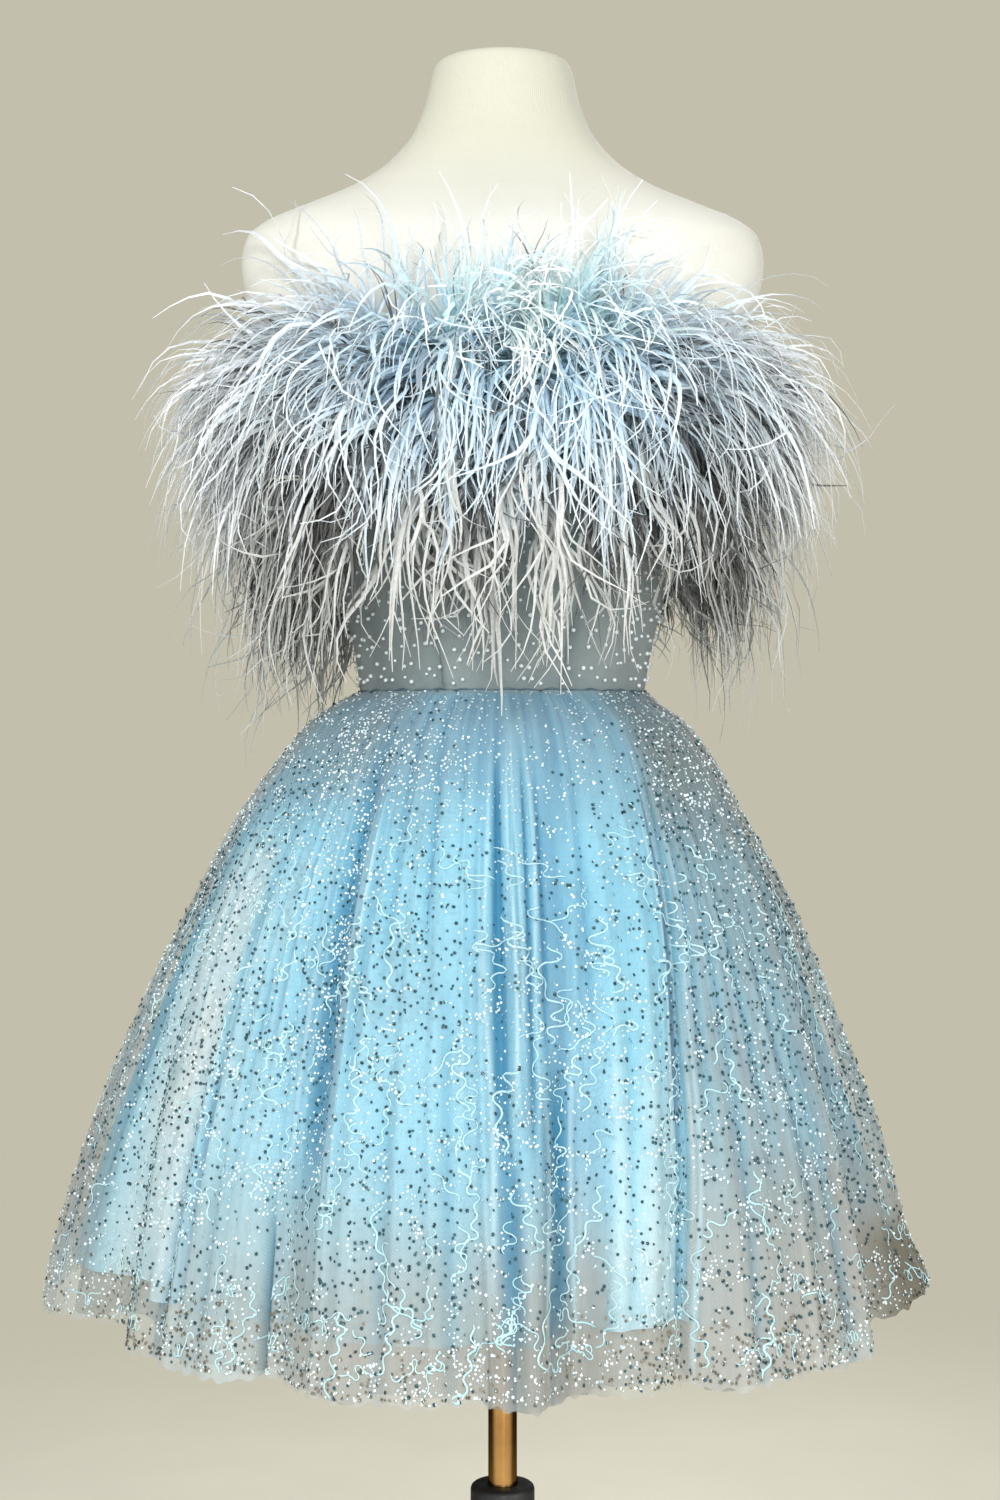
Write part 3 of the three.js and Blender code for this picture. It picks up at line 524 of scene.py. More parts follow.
# %% The clamp knob
# A lobed grip on a screw: the same six-lobed outline at each place along the screw, drawn in at both ends.
KNOB_Z, LOBES, SEGMENTS = 378, 6, 96
knob_rows = [  # distance along the screw, size of the grip there, depth of the lobes
    (11.5, 3.2, 0), (12.3, 4, 0), (29.6, 4, 0), (29.8, 9, 0.5), (30, 13.6, 0.8), (31.4, 15, 1), (46, 15, 1),
    (47.4, 14, 1), (48, 12.6, 0.8), (48, 8, 0.3), (47.2, 7, 0), (47.2, 0.05, 0),
]
angles = np.linspace(0, 2 * math.pi, SEGMENTS, endpoint=False)
rings = []
for along, size, lobes in knob_rows:
    radius = size * (1 - 0.09 * lobes * (1 - np.cos(LOBES * angles)))
    x, z = radius * np.cos(angles), KNOB_Z + radius * np.sin(angles)
    rings.append(np.stack([x, np.full(SEGMENTS, along), z], -1))
rings.insert(0, rings[0] * [0.02, 1, 0.02] + [0, 0, KNOB_Z * 0.98])  # the screw's tip
faces = grid_faces(len(rings), SEGMENTS, closed=True)[:, ::-1]
sharpen(new_piece("grip_knob", rings, faces, black_metal, "clamp_knob", "knob"), 40)

# %% [markdown]
# ## Bodice
# Five panels meet in princess seams, side seams and at the zip. Each is a thin shell on its solid: a little
# proud between the seams and drawn in where it is stitched. The cloth is the same beaded tulle as the
# skirt's, laid flat over a grey-blue lining; its colour is also darkened as painted shade from the fringe
# above, so it reads darker than the skirt.

# %% The bodice's tables
BODICE_OUT = 2.4 + 1.6  # its distance from the form, and its wall
FRONT_TOP, SIDE_TOP, BACK_TOP = 1282, 1262, 1242
ZIP_GAP, SEAM_GAP = 3.3 / 1.7, 0.09  # what a panel leaves free at its edges, in degrees


def bodice_top(turn):
    c = np.cos(np.radians(turn))
    return SIDE_TOP + c * np.where(c > 0, FRONT_TOP - SIDE_TOP, SIDE_TOP - BACK_TOP)


def princess(z):
    return mix(24, 34, smoothstep(z, WAIST_Z, 1215))


def straight(turn):
    return lambda z: turn + 0 * z


def bodice_point(turn, z, out=0.0):
    return form_point(turn, z, BODICE_OUT + out)


BODICE_PANELS = {  # each panel's two edges, as turn angles at a height, and its columns
    "bodice_back_left": (straight(-180), straight(-90), 44),
    "bodice_side_front_left": (straight(-90), lambda z: -princess(z), 30),
    "bodice_centre_front": (lambda z: -princess(z), princess, 40),
    "bodice_side_front_right": (princess, straight(90), 30),
    "bodice_back_right": (straight(90), straight(180), 44),
}

# %% The bodice's cloth
# Its colour is darker than the skirt's tulle: the lining, and painted shade from the fringe above.
bodice_cloth, tree, _, tone = woven(
    "beaded tulle over a grey lining with painted shade", (0.26, 0.315, 0.318), (0.15, 0.195, 0.20), 16.0, (4200.0, 4200.0, 0.8),
    (0.0003, 0.6), laid=True, Roughness=0.55, Sheen_Weight=0.35,
)
feed(tree, tone, {"Mask": stored(tree, "seam")})

# %% The bodice's panels
BODICE_ROWS = 56
down = np.linspace(0, 1, BODICE_ROWS + 1)[:, None]
for panel, (left, right, columns) in BODICE_PANELS.items():
    across = np.linspace(0, 1, columns + 1)[None, :]
    rough_z = mix(1250, WAIST_Z, down)
    z = mix(bodice_top(mix(left(rough_z), right(rough_z), across)), WAIST_Z + 0.15, down)
    turn = mix(left(z), right(z), across)
    inwards = np.where(across == 0, 1, 0) - np.where(across == 1, 1, 0)
    gap = np.where(np.abs(turn) > 179.9, ZIP_GAP, SEAM_GAP) * inwards
    near = np.exp(-(((0.5 - np.abs(across - 0.5)) * columns / 1.3) ** 2)) + 0 * z  # to a seam
    top = np.exp(-((down * BODICE_ROWS / 1.1) ** 2))
    waist = np.exp(-(((1 - down) * BODICE_ROWS / 1.2) ** 2))
    point = bodice_point(turn + gap, z, 0.5 - 1.3 * near - 0.9 * waist + 0.5 * top)
    piece = new_piece(panel + "_cloth", point, grid_faces(*z.shape), bodice_cloth, panel)
    set_attribute(piece, "seam", np.clip(near, 0, 1) * 0.7)
    set_lay(piece, turn * 2.2, z)
print("bodice:", len(BODICE_PANELS), "panels")

# %% [markdown]
# ## Skirt
# All three layers share the folds that fall from the waist. Over the CAD model's large folds come two finer
# kinds: gathers, which pucker the cloth right under the waist seam and die out in a hand's width, and
# creases, which run part of the way down and differ in length, width and depth. Creases are soft troughs and
# ridges at chosen angles, a row of the table each, so any one can be moved or removed.

# %% The skirt's tables
HEM_DROP = 464
SKIRT_PROFILE = curve_through([  # drop below the waist, reach to the left, right, front and back
    (0, 112, 112, 87, 83), (8, 129, 121, 101, 97), (22, 149, 140, 120, 116), (50, 173, 163, 145, 141),
    (95, 203, 187, 175, 171), (160, 238, 221, 212, 206), (240, 277, 253, 251, 244), (330, 314, 287, 293, 284),
    (420, 342, 310, 330, 318), (464, 351, 318, 349, 334), (476, 353, 320, 354, 338),
])
FOLDS = [  # turn at the waist and at the hem, half width, depth at the hem, share of the drop where it starts
    (-165, -165, 12, 27, 0.05), (-141, -139, 11, 31, 0.2), (-114, -113, 11, 30, 0.12),
    (-76, -64, 14, 36, 0.22), (-57, -46, 34, 24, 0.3), (-44, -29, 10, 30, 0.02), (-10, -2, 5, 14, 0),
    (18, 9, 6.5, 40, 0.04), (31, 16, 13, 22, 0.35), (46, 23, 7.5, 30, 0.08), (76, 63, 13, 46, 0.28),
    (114, 114, 12, 31, 0.1), (140, 139, 11, 28, 0.22), (164, 163, 11, 30, 0.06),
]
LAYERS = {  # distance inside the overlay at the waist and lower down, drop of the hem
    "overlay": (0, 0, HEM_DROP), "satin": (1.3, 7, HEM_DROP - 37), "petticoat": (2.8, 15, HEM_DROP - 5),
}
PARTS = {"front": (-90, 90), "back_right": (90, 180), "back_left": (-180, -90)}
seams = [(turn, turn) for turn in (-180, -90, 90, 180)]
GATHER_MAP = np.array(sorted([(fold[1], fold[0]) for fold in FOLDS] + seams), float)  # turns at hem and waist


def waist_turn(hem_turn):
    return np.interp(hem_turn, GATHER_MAP[:, 0], GATHER_MAP[:, 1])


def fold_depth(hem_turn, drop):
    """How far the large folds sink in: a raised cosine that grows to the hem, with a sharper bottom."""
    total = 0
    for _, hem, half, depth, start in FOLDS:
        off = np.clip(np.abs(hem_turn - hem) / half, 0, 1)
        shape = 0.5 * (1 + np.cos(math.pi * off ** (0.8 if half < 12 else 1)))
        total = total + depth * smoothstep(drop / HEM_DROP, start, 1.15) * shape
    return total


# %% Gathers and creases
PUCKERS = 134
rng = np.random.default_rng(7)
spots = np.linspace(-180, 180, PUCKERS, endpoint=False) + rng.uniform(-1.1, 1.1, PUCKERS)
ranges = ((0.8, 1.5), (1.2, 3.4), (40, 210))  # half width, depth, length
GATHERS = np.stack([spots] + [rng.uniform(*span, PUCKERS) for span in ranges], -1)
GATHERS[:, 3] *= rng.uniform(0.5, 1, PUCKERS)
CREASES = [  # turn at the hem, half width, depth (a ridge is negative), drops where it starts and ends
    (-86, 1.6, 4, 60, 330), (-81, 1.3, -3, 30, 464), (-76.5, 1.2, 4, 120, 464), (-72, 1.5, -3, 150, 464),
    (-67, 1.1, 3.5, 20, 300), (-60.5, 1.4, 5, 90, 464), (-56, 1.2, -3, 30, 300), (-52.5, 1.8, -3, 200, 464),
    (-47.8, 1.5, 10, 230, 455), (-44.6, 1.0, -2.5, 60, 470), (-42, 0.9, 3.5, 20, 210),
    (-39.5, 1.0, 3.5, 150, 464), (-36.2, 1.2, 4.5, 30, 260), (-34.2, 0.9, -3, 20, 470),
    (-31.2, 0.4, 11, 325, 470), (-29.6, 0.8, -4, 30, 330), (-24.8, 2.7, 6.6, 0, 325),
    (-21.2, 0.6, -4, 10, 470), (-19.6, 0.7, 3, 40, 260), (-18.2, 0.9, -2.5, 120, 470), (-16, 0.8, 4, 10, 190),
    (-13.6, 0.9, 3, 230, 470), (-11.8, 0.8, -3, 30, 420), (-9.6, 0.9, 4.5, 10, 170), (-7.4, 0.8, -3, 90, 470),
    (-5.4, 0.8, 3.5, 180, 470), (-3.4, 0.7, -3, 10, 300), (-1.1, 0.55, -4.5, 60, 470), (0.9, 0.8, 9, 15, 300),
    (1.4, 1.3, 8.5, 280, 470), (2.6, 0.55, -4, 50, 300), (4.1, 0.35, 6, 10, 300), (5.7, 0.35, 5, 30, 230),
    (6.8, 1.5, 9.5, 230, 440), (5.6, 0.55, 9, 370, 480), (9.2, 0.6, -4, 100, 470), (10.9, 0.7, 3.5, 10, 230),
    (13.6, 1.0, -3, 50, 470), (15.6, 0.8, 3, 190, 430), (18.4, 1.1, -3, 30, 470), (20.8, 0.6, -2, 60, 470),
    (22.8, 0.5, 8.5, 25, 290), (23.0, 0.45, 5.5, 250, 470), (24.4, 0.6, -2.5, 60, 470),
    (26.2, 0.8, 4, 20, 300), (27.8, 0.8, -3, 100, 470), (30.4, 0.9, 4, 20, 464), (33.2, 0.9, -3, 60, 330),
    (36.2, 1.1, 5, 20, 280), (39.6, 0.9, -3, 160, 470), (43, 1.0, 3.5, 60, 370), (47, 1.4, 5, 110, 470),
    (51, 1.2, -3, 30, 470), (56, 1.4, 4.5, 60, 420), (63, 1.3, 5, 150, 470), (68, 1.2, -3, 20, 330),
    (73, 1.4, 4, 90, 470), (78, 1.2, -3.4, 100, 470), (84, 1.6, 4, 50, 360), (92, 1.4, -3, 40, 470),
    (97, 1.3, 4.5, 20, 300), (103, 1.5, -4, 120, 470), (108, 1.1, 4, 150, 464), (113.5, 1.6, 7, 0, 330),
    (118, 1.0, -4, 30, 470), (123, 1.3, 4, 60, 470), (128, 1.1, -3.5, 20, 470), (133, 1.5, 5, 90, 380),
    (138, 0.9, 8, 40, 470), (142, 1.0, -4, 60, 470), (148, 1.3, 4.5, 10, 300), (152.5, 1.1, -3.5, 150, 470),
    (157.5, 1.2, 4, 180, 464), (164, 1.6, 8, 0, 350), (168, 0.9, -4, 30, 470), (173, 1.2, 4, 60, 300),
    (177, 0.8, -3, 160, 470), (-176.5, 1.0, 3.5, 160, 464), (-171, 1.1, -3.6, 60, 470),
    (-166, 1.7, 8, 10, 340), (-161, 0.9, -4, 30, 470), (-156, 1.3, 4.5, 40, 300), (-151, 1.1, -3.5, 110, 470),
    (-146, 1.3, 4, 20, 464), (-140, 0.9, 8, 60, 470), (-136.5, 1.0, -4, 30, 470), (-131, 1.3, 4.5, 120, 400),
    (-125, 1.2, -3.5, 30, 470), (-119, 1.2, 4, 10, 280), (-113, 1.5, 7, 30, 430), (-108.5, 1.0, -4, 0, 470),
    (-103, 1.2, 4, 150, 464), (-98, 1.2, -3, 40, 470), (-92.5, 1.4, 4.5, 20, 350),
]
# Folded edges of the net, as pale lines: turn at the hem, half width, drops where each starts and ends.
EDGES = [
    (-46.4, 0.35, 140, 450), (-28.4, 0.3, 20, 330), (-21.3, 0.3, 0, 330), (-0.4, 0.24, 40, 400),
    (2.4, 0.22, 30, 300), (3.1, 0.2, 10, 240), (4.8, 0.22, 10, 250), (5.3, 0.25, 250, 440),
    (8.6, 0.25, 230, 440), (21.7, 0.25, 60, 330), (24.1, 0.26, 160, 464), (62, 0.4, 60, 330),
    (112, 0.4, 20, 330), (139.3, 0.3, 40, 464), (165.8, 0.35, 0, 350), (-167.9, 0.35, 10, 340),
    (-141.2, 0.3, 60, 464), (-114.8, 0.4, 30, 430), (-62, 0.4, 60, 300),
]


def gather_depth(hem_turn, drop):
    """How far the puckers under the waist seam sink in."""
    turn, total = waist_turn(hem_turn), 0
    for centre, half, depth, length in GATHERS:
        off = np.abs(turn - centre) / (half * (1 + drop / 160))
        pucker = depth * np.exp(-1.6 * off**2) * smoothstep(-drop, -length, -2)
        total = total + pucker * smoothstep(drop, -6, 10)
    return total


def line_strength(off, half, drop, narrow, start, end, fade):
    """How strong a line down the cloth is: it narrows towards the waist and fades at its ends."""
    width = half * (narrow + (1 - narrow) * smoothstep(drop, 0, 300))
    ends = smoothstep(drop, start, start + 2 * fade) * smoothstep(-drop, -end - fade, fade - end)
    return np.exp(-((off / width) ** 2)) * ends


def crease_depth(hem_turn, drop):
    """How far the creases sink in; below zero on a ridge."""
    total = 0
    for centre, half, depth, start, end in CREASES:
        total = total + depth * line_strength(hem_turn - centre, half, drop, 0.4, start, end, 40)
    return total


def edge_lines(hem_turn, drop):
    """How near a place is to a folded edge of the net, from 0 to 1."""
    total = 0
    for centre, half, start, end in EDGES:
        swerve = 0.3 * np.sin(drop / 37 + centre)
        total = np.maximum(total, line_strength(hem_turn - centre - swerve, half, drop, 0.5, start, end, 30))
    return total


def skirt_point(hem_turn, drop, inwards=0.0, fine=1.0):
    """The skirt's surface, on the gather that ends at a turn of the hem, at a drop below the waist."""
    share = np.clip(drop / HEM_DROP, 0, 1) ** 0.7
    turn = np.radians(mix(waist_turn(hem_turn), hem_turn, share))
    sin, cos = np.sin(turn), np.cos(turn)

    def smooth_radius(at):
        left, right, front, back = SKIRT_PROFILE(at)
        return 1 / np.hypot(sin / np.where(sin > 0, right, left), cos / np.where(cos > 0, front, back))

    low, high = np.maximum(drop - 1, 0), drop + 1
    slope = (smooth_radius(high) - smooth_radius(low)) / (high - low)
    steep = np.hypot(1, slope)
    sunk = fold_depth(hem_turn, drop) + fine * (gather_depth(hem_turn, drop) + crease_depth(hem_turn, drop))
    radius = smooth_radius(drop) - sunk - inwards / steep
    return np.stack([sin * radius, -cos * radius, WAIST_Z - drop - inwards * slope / steep], -1)


# %% [markdown]
# ## The skirt's cloths
# Tulle lets most of the light through, so its alpha is low, and rises where it is gathered and lies in many
# thicknesses. Its colour greys towards the hem where its layers lie thick, partly as painted shade; it is
# darkened with painted shade in the creases, at the upper sides, on the right and low at the centre, and
# turns brown as painted shade at the turned-up right corner. The satin has a soft directional gloss; its
# colour carries painted highlight bands, and painted shade that deepens it inside the folds and near the
# waist. The net is greyer, darkened by the same painted shade in its folds, and shows only as a thin edge
# through the tulle's hem.

# %% Tulle
tulle, tree, shader, tone = toned(
    "sequin tulle", (0.485, 0.69, 0.76), (0.42, 0.43, 0.405), 7.0,
    Roughness=0.6, Sheen_Weight=0.4, Sheen_Roughness=0.4, Specular_IOR_Level=0.3,
)
feed(tree, tone, {"Mask": reckon(tree, "SUBTRACT", stored(tree, "depth"), 0.35)})
# Painted shade: dark blue-grey in the folds, at the upper sides and low at the centre; then a painted brown
# shade at the turned-up corner, the upper sides and low at the centre.
with_painted_shade = blend(tree, stored(tree, "shade"), (tone, "Color"), (0.06, 0.24, 0.36, 1))
brown_shaded = blend(tree, stored(tree, "warm"), with_painted_shade, (0.15, 0.14, 0.105, 1))
lay = stored(tree, "lay", "Vector")
holes = place(tree, THREADS, {"Vector": lay}, Across=2600.0, Down=2600.0, Uneven=1.2)
pleats = place(tree, PLEATS, {"Vector": lay}, Strength=0.25)
dense = reckon(tree, "ADD", stored(tree, "dense"), (pleats, "Streak"))
cover = reckon(tree, "MULTIPLY_ADD", (holes, "Height"), 0.05, dense, use_clamp=True)
feed(tree, shader, {"Base Color": brown_shaded, "Alpha": cover})

# %% Satin
satin, tree, shader, tone = woven(
    "light blue satin", (0, 0, 0), (1, 1, 1), 9.0, (5200.0, 900.0, 0.5), (0.0002, 0.5), laid=True,
    Roughness=0.45, Sheen_Weight=0.15, Sheen_Roughness=0.35, Anisotropic=0.5, Specular_IOR_Level=0.25,
)
pleats = place(tree, PLEATS, {"Vector": stored(tree, "lay", "Vector")}, Strength=0.16)
streaked = reckon(tree, "ADD", stored(tree, "depth"), (pleats, "Streak"))
# The ramp runs from a painted highlight, through the satin's own blue, to painted shade in the folds.
ramp = node(tree, "ValToRGB", {"Fac": reckon(tree, "MULTIPLY_ADD", (tone, "Factor"), 0.2, streaked)})
pale, deep = ramp.color_ramp.elements
pale.color, deep.color = (0.89, 0.94, 0.92, 1), (0.035, 0.29, 0.49, 1)
ramp.color_ramp.elements.new(0.5).color = (0.27, 0.65, 0.81, 1)
milky = blend(tree, stored(tree, "milky"), (ramp, "Color"), (0.50, 0.58, 0.58, 1))
feed(tree, shader, {"Base Color": milky})

# %% Petticoat net
net, tree, shader, tone = toned(
    "petticoat net", (0.54, 0.54, 0.50), (0.27, 0.29, 0.28), 14.0, Roughness=0.7, Sheen_Weight=0.3
)
# Its depth of tone carries the same painted shade in the folds and painted gloss bands as the satin's.
feed(tree, tone, {"Mask": stored(tree, "depth")})
lay = stored(tree, "lay", "Vector")
holes = place(tree, THREADS, {"Vector": lay}, Across=1900.0, Down=1900.0, Uneven=0.8)
cover = node(
    tree, "MapRange", {"Value": (holes, "Height")}, From_Min=-1.0, From_Max=1.4, To_Min=0.54, To_Max=0.66
)
feed(tree, shader, {"Alpha": (cover, "Result")})

# %% Bands of tone
# At a turn of the hem: how pale the satin's painted gloss highlight is, how thick the tulle lies over its
# hem, and how grey, partly as painted shade.
BANDS = curve_through([
    (-180, 0.55, 0.5, 0.5), (-172, 0.3, 0.6, 0.6), (-160, 0.8, 0.3, 0.4), (-150, 0.9, 0.1, 0.3),
    (-141, 0.2, 0.6, 0.8), (-128, 0.7, 0.5, 0.4), (-118, 0.25, 0.6, 0.7), (-106, 0.8, 0.25, 0.4),
    (-92, 0.35, 0.6, 0.8), (-76, 0.4, 0.5, 0.8), (-68, 0.9, 0.1, 0.3), (-53.5, 1, 0.05, 0.2),
    (-49.5, 0.95, 0.1, 0.3), (-47, 0.4, 0.6, 0.4), (-44, 0.72, 0.6, 0.3), (-36, 0.66, 0.6, 0.35),
    (-31, 0.5, 0.6, 0.5), (-27.5, 0.25, 0.7, 0.5), (-24, 0.4, 0.6, 0.6), (-17, 0.55, 0.55, 0.55),
    (-9, 0.5, 0.5, 0.5), (-4, 0.55, 0.4, 0.4), (-0.8, 0.42, 0.6, 0.7), (1.6, 0.4, 0.65, 0.9),
    (4.6, 0.38, 0.62, 1), (6.8, 0, 0.7, 1), (9, 0.3, 0.65, 1), (11.6, 0.42, 0.65, 0.9),
    (13.2, 0.78, 0.1, 0.3), (19, 0.82, 0.06, 0.2), (22.6, 0.78, 0.1, 0.3), (24.8, 0.6, 0.5, 0.5),
    (28, 0.55, 0.62, 0.5), (36, 0.5, 0.66, 0.5), (46, 0.55, 0.7, 0.4), (58, 0.6, 0.62, 0.4),
    (66, 0.3, 0.5, 0.7), (78, 0.4, 0.45, 0.9), (90, 0.35, 0.55, 0.9), (101, 0.8, 0.2, 0.4),
    (112, 0.25, 0.6, 0.7), (124, 0.7, 0.5, 0.4), (133, 0.85, 0.15, 0.3), (141, 0.2, 0.6, 0.8),
    (152, 0.65, 0.5, 0.4), (163, 0.25, 0.6, 0.7), (172, 0.75, 0.3, 0.4), (180, 0.55, 0.5, 0.5),
])


# %% Hems
def uneven_hem(layer, hem_turn):
    """How far a layer's hem rises and falls; the petticoat's steps at its pieced cuts."""
    wave = sine(hem_turn * 7 + 20) + 0.8 * sine(hem_turn * 17) + 0.5 * sine(hem_turn * 41 + 80)
    if layer == "overlay":
        ripple = 1.3 * sine(hem_turn * 131) + 0.9 * sine(hem_turn * 211 + 30)
        return 1.4 * wave + ripple - 16 * hump(hem_turn, 80, 9)
    if layer == "petticoat":
        return 1.5 * wave + 3.2 * np.sign(sine(hem_turn * 13 + 30))
    return -4 * hump(hem_turn, 18, 7, 4)


def flare(hem_turn, drop):
    """How far the right corner of the overlay's hem stands out."""
    return 9 * hump(hem_turn, 77, 9) * smoothstep(drop, 400, 450)


# %% What the cloths' finishes read
def tulle_looks(hem_turn, drop, puckers, creases, edges, low, high):
    """How dense the tulle lies at each point, how grey with its layers and painted shade, how dark and how
    brown with painted shade.
    """
    _, thick, grey = BANDS(hem_turn + 0 * drop)
    cover = 0.2 + 0.16 * high + 0.1 * (thick > 0.3) * smoothstep(drop, 100, 300)
    cover = cover + 0.5 * np.clip(thick - 0.1, 0, 1) * low
    at_sides = smoothstep(-np.abs(np.abs(hem_turn) - 90), -40, -8)
    doubled = at_sides * np.clip(2 * thick, 0.15, 1)
    turned_up = hump(hem_turn, 77, 11, 4) * smoothstep(drop, 378, 412)  # the right corner
    right = smoothstep(hem_turn, 21.5, 24) * (1 - smoothstep(hem_turn, 60, 80)) * smoothstep(drop, 0, 60)
    cover = cover + 0.14 * np.maximum(doubled * smoothstep(drop, 20, 160), right)
    # Greyer where the layers lie thick, and as painted shade towards the hem, near the waist and on the
    # right.
    grey = np.clip(low * (0.35 + 0.75 * grey) + 0.3 * high + 0.6 * doubled + 0.55 * right, 0, 1)
    # Painted shade on the upper sides, reaching lower on the right.
    reach = np.where(hem_turn > 0, 230, 120)
    shaded_upper_sides = smoothstep(np.abs(hem_turn), 14, 34) * (1 - smoothstep(drop, 30, reach))
    # Painted shade, greyer and browner, low at the centre where the folds meet.
    shaded_hem_centre = hump(hem_turn, 5, 7, 4) * smoothstep(drop, 395, 440)  # the folds meet low at the centre
    with_painted_shade = (creases + 0.8 * puckers) / 10 * (1 - 0.5 * shaded_hem_centre) + 0.2 * shaded_upper_sides + 0.06 * shaded_hem_centre
    return {
        "dense": np.clip(cover + 0.22 * shaded_upper_sides + 0.5 * turned_up + 0.2 * edges, 0, 0.95),
        "depth": grey * (1 - edges),
        "shade": np.clip(with_painted_shade - edges, 0, 1),
        "warm": np.maximum.reduce([turned_up, shaded_upper_sides * np.where(hem_turn > 0, 0.66, 0.34), 0.34 * shaded_hem_centre]),
    }


def lining_looks(hem_turn, drop, puckers, creases, edges, low, high):
    """How deep the tone of the satin or the net is, with painted gloss bands and painted shade, and how milky
    the tulle makes it.
    """
    # The gloss column of the bands paints highlights, held back near the waist.
    gloss, thick, _ = BANDS(hem_turn + 0 * drop)
    left = hem_turn < 0
    most = np.where(left, 0.6, 0.46)  # of the gloss that shows near the waist
    drawn = smoothstep(drop, np.where(left, 60, 190), np.where(left, 200, 330))
    gloss = mix(np.minimum(gloss, most + 0.1 * (gloss - most)), gloss, drawn)
    # Painted shade in the creases and the puckers.
    deep = 0.09 * np.clip(creases, -1.2, 8) * smoothstep(np.abs(creases), 0, 6)
    deep = deep + 0.08 * np.clip(puckers, 0, 5)
    # Painted light: gloss highlights, painted shade near the waist and in the creases, paler along folded net
    # edges.
    pale = 0.5 + (gloss - 0.5) * smoothstep(drop, 0, 160) - 0.22 * high
    pale = pale - deep * (1 - 0.35 * low) + 0.34 * edges
    milky = low * np.clip(thick * 1.5 - 0.2, 0, 1) * (1 - 0.7 * np.clip(creases / 8, 0, 1))
    return {"depth": np.clip(1 - pale, 0, 1), "milky": milky}


# %% The skirt's panels
CLOTHS = {  # material, slot, columns of the front panel, rows
    "overlay": (tulle, "sequin_tulle", 560, 72), "satin": (satin, "satin", 460, 54),
    "petticoat": (net, "net", 180, 44),
}
PANEL_GAP = 0.12  # at each seam, in degrees


def crowded(start, end, columns):
    """Columns for a panel, closer together where a crease is narrow."""
    turn = np.linspace(start, end, 4000)
    weight = np.ones(turn.shape)
    for centre, half, *_ in CREASES + EDGES:
        weight += 0.9 / half * hump(turn, centre, 1.2 * half)
    walked = np.cumsum(weight)
    return np.interp(np.linspace(walked[0], walked[-1], columns), walked, turn)


def skirt_panel(layer, part):
    start, end = PARTS[part]
    cloth, slot, columns, rows = CLOTHS[layer]
    columns = columns if part == "front" else columns // 2 - 30
    at_waist, below, hem_drop = LAYERS[layer]
    hem_turn = crowded(start + PANEL_GAP, end - PANEL_GAP, columns)[None, :]
    drop = np.linspace(0, 1, rows)[:, None] ** 1.25 * (hem_drop + uneven_hem(layer, hem_turn)) + 0.2
    inwards = mix(at_waist, below, smoothstep(drop, 0, 60))
    if layer == "overlay":
        inwards = inwards - flare(hem_turn, drop)
    else:  # the net of the overlay stands further off the satin at the sides
        inwards = inwards + 0.4 + 9 * sine(hem_turn) ** 2 * smoothstep(drop, 60, 300)
    point = skirt_point(hem_turn, drop, inwards)
    name, faces = f"{layer}_{part}", grid_faces(rows, columns)
    piece = new_piece(name, point, faces, cloth, "skirt_" + name)
    fine = (measure(hem_turn, drop) for measure in (gather_depth, crease_depth, edge_lines))
    low, high = smoothstep(drop, 300, 425), 1 - smoothstep(drop, 10, 130)
    looks = tulle_looks if layer == "overlay" else lining_looks
    for label, values in looks(hem_turn, drop, *fine, low, high).items():
        set_attribute(piece, label, values)
    set_lay(piece, np.radians(hem_turn) * 380 + 0 * drop, drop)
    return piece


for layer in LAYERS:
    faces = sum(len(skirt_panel(layer, part).data.polygons) for part in PARTS)
    print(layer, faces, "faces")

# %% [markdown]
# ## Sequins and beads
# Thousands of sequins are sewn to the tulle. Each is a small cupped disc of five triangles, tilted a little
# its own way, and all of them make one mesh: the light then picks out some and leaves others dark, as on the
# real cloth. Many also get a bright finish as painted glints, and the rest a dark teal or smoky one, the
# teal partly as painted dark reflections. Some are sewn in short chains that wander, the rest lie loose, in
# crowded patches or along the hem. All are placed in the flat cloth, so they crowd together where it is
# gathered.

# %% Sequin finishes
# The silver finish is bright as a painted glint; the teal one is dark, partly as a painted dark reflection.
silver, teal, smoky = (
    toned(name + " sequins", light, dark, 160.0, Metallic=0.2, **values)[0] for name, light, dark, values in (
        ("silver", (0.86, 0.90, 0.89), (0.50, 0.70, 0.76), {"Roughness": 0.3}),
        ("teal", (0.05, 0.13, 0.15), (0.01, 0.03, 0.04), {"Roughness": 0.4, "Specular_IOR_Level": 0.3}),
        ("smoky", (0.26, 0.24, 0.18), (0.07, 0.065, 0.05), {"Roughness": 0.4}),
    )
)


# %% Discs from places
def frames_on(surface, turn, along, rng, tilt, sideways=0.0):
    """Places on a surface with their normals, tilted at random, and two directions across each."""
    point = surface(turn, along)
    across = surface(turn + 0.15, along) - surface(turn - 0.15, along)
    down = surface(turn, along + 0.8) - surface(turn, np.maximum(along - 0.8, 0.01))
    normal = unit(np.cross(across, down))
    normal[np.sum(normal[:, :2] * point[:, :2], axis=1) < 0] *= -1
    lean = rng.normal(0, tilt, normal.shape)
    normal = unit(normal + lean + unit(across) * rng.normal(0, sideways, (len(turn), 1)))
    first = unit(np.cross(normal, unit(rng.normal(size=normal.shape))))
    return point, normal, first, np.cross(normal, first)


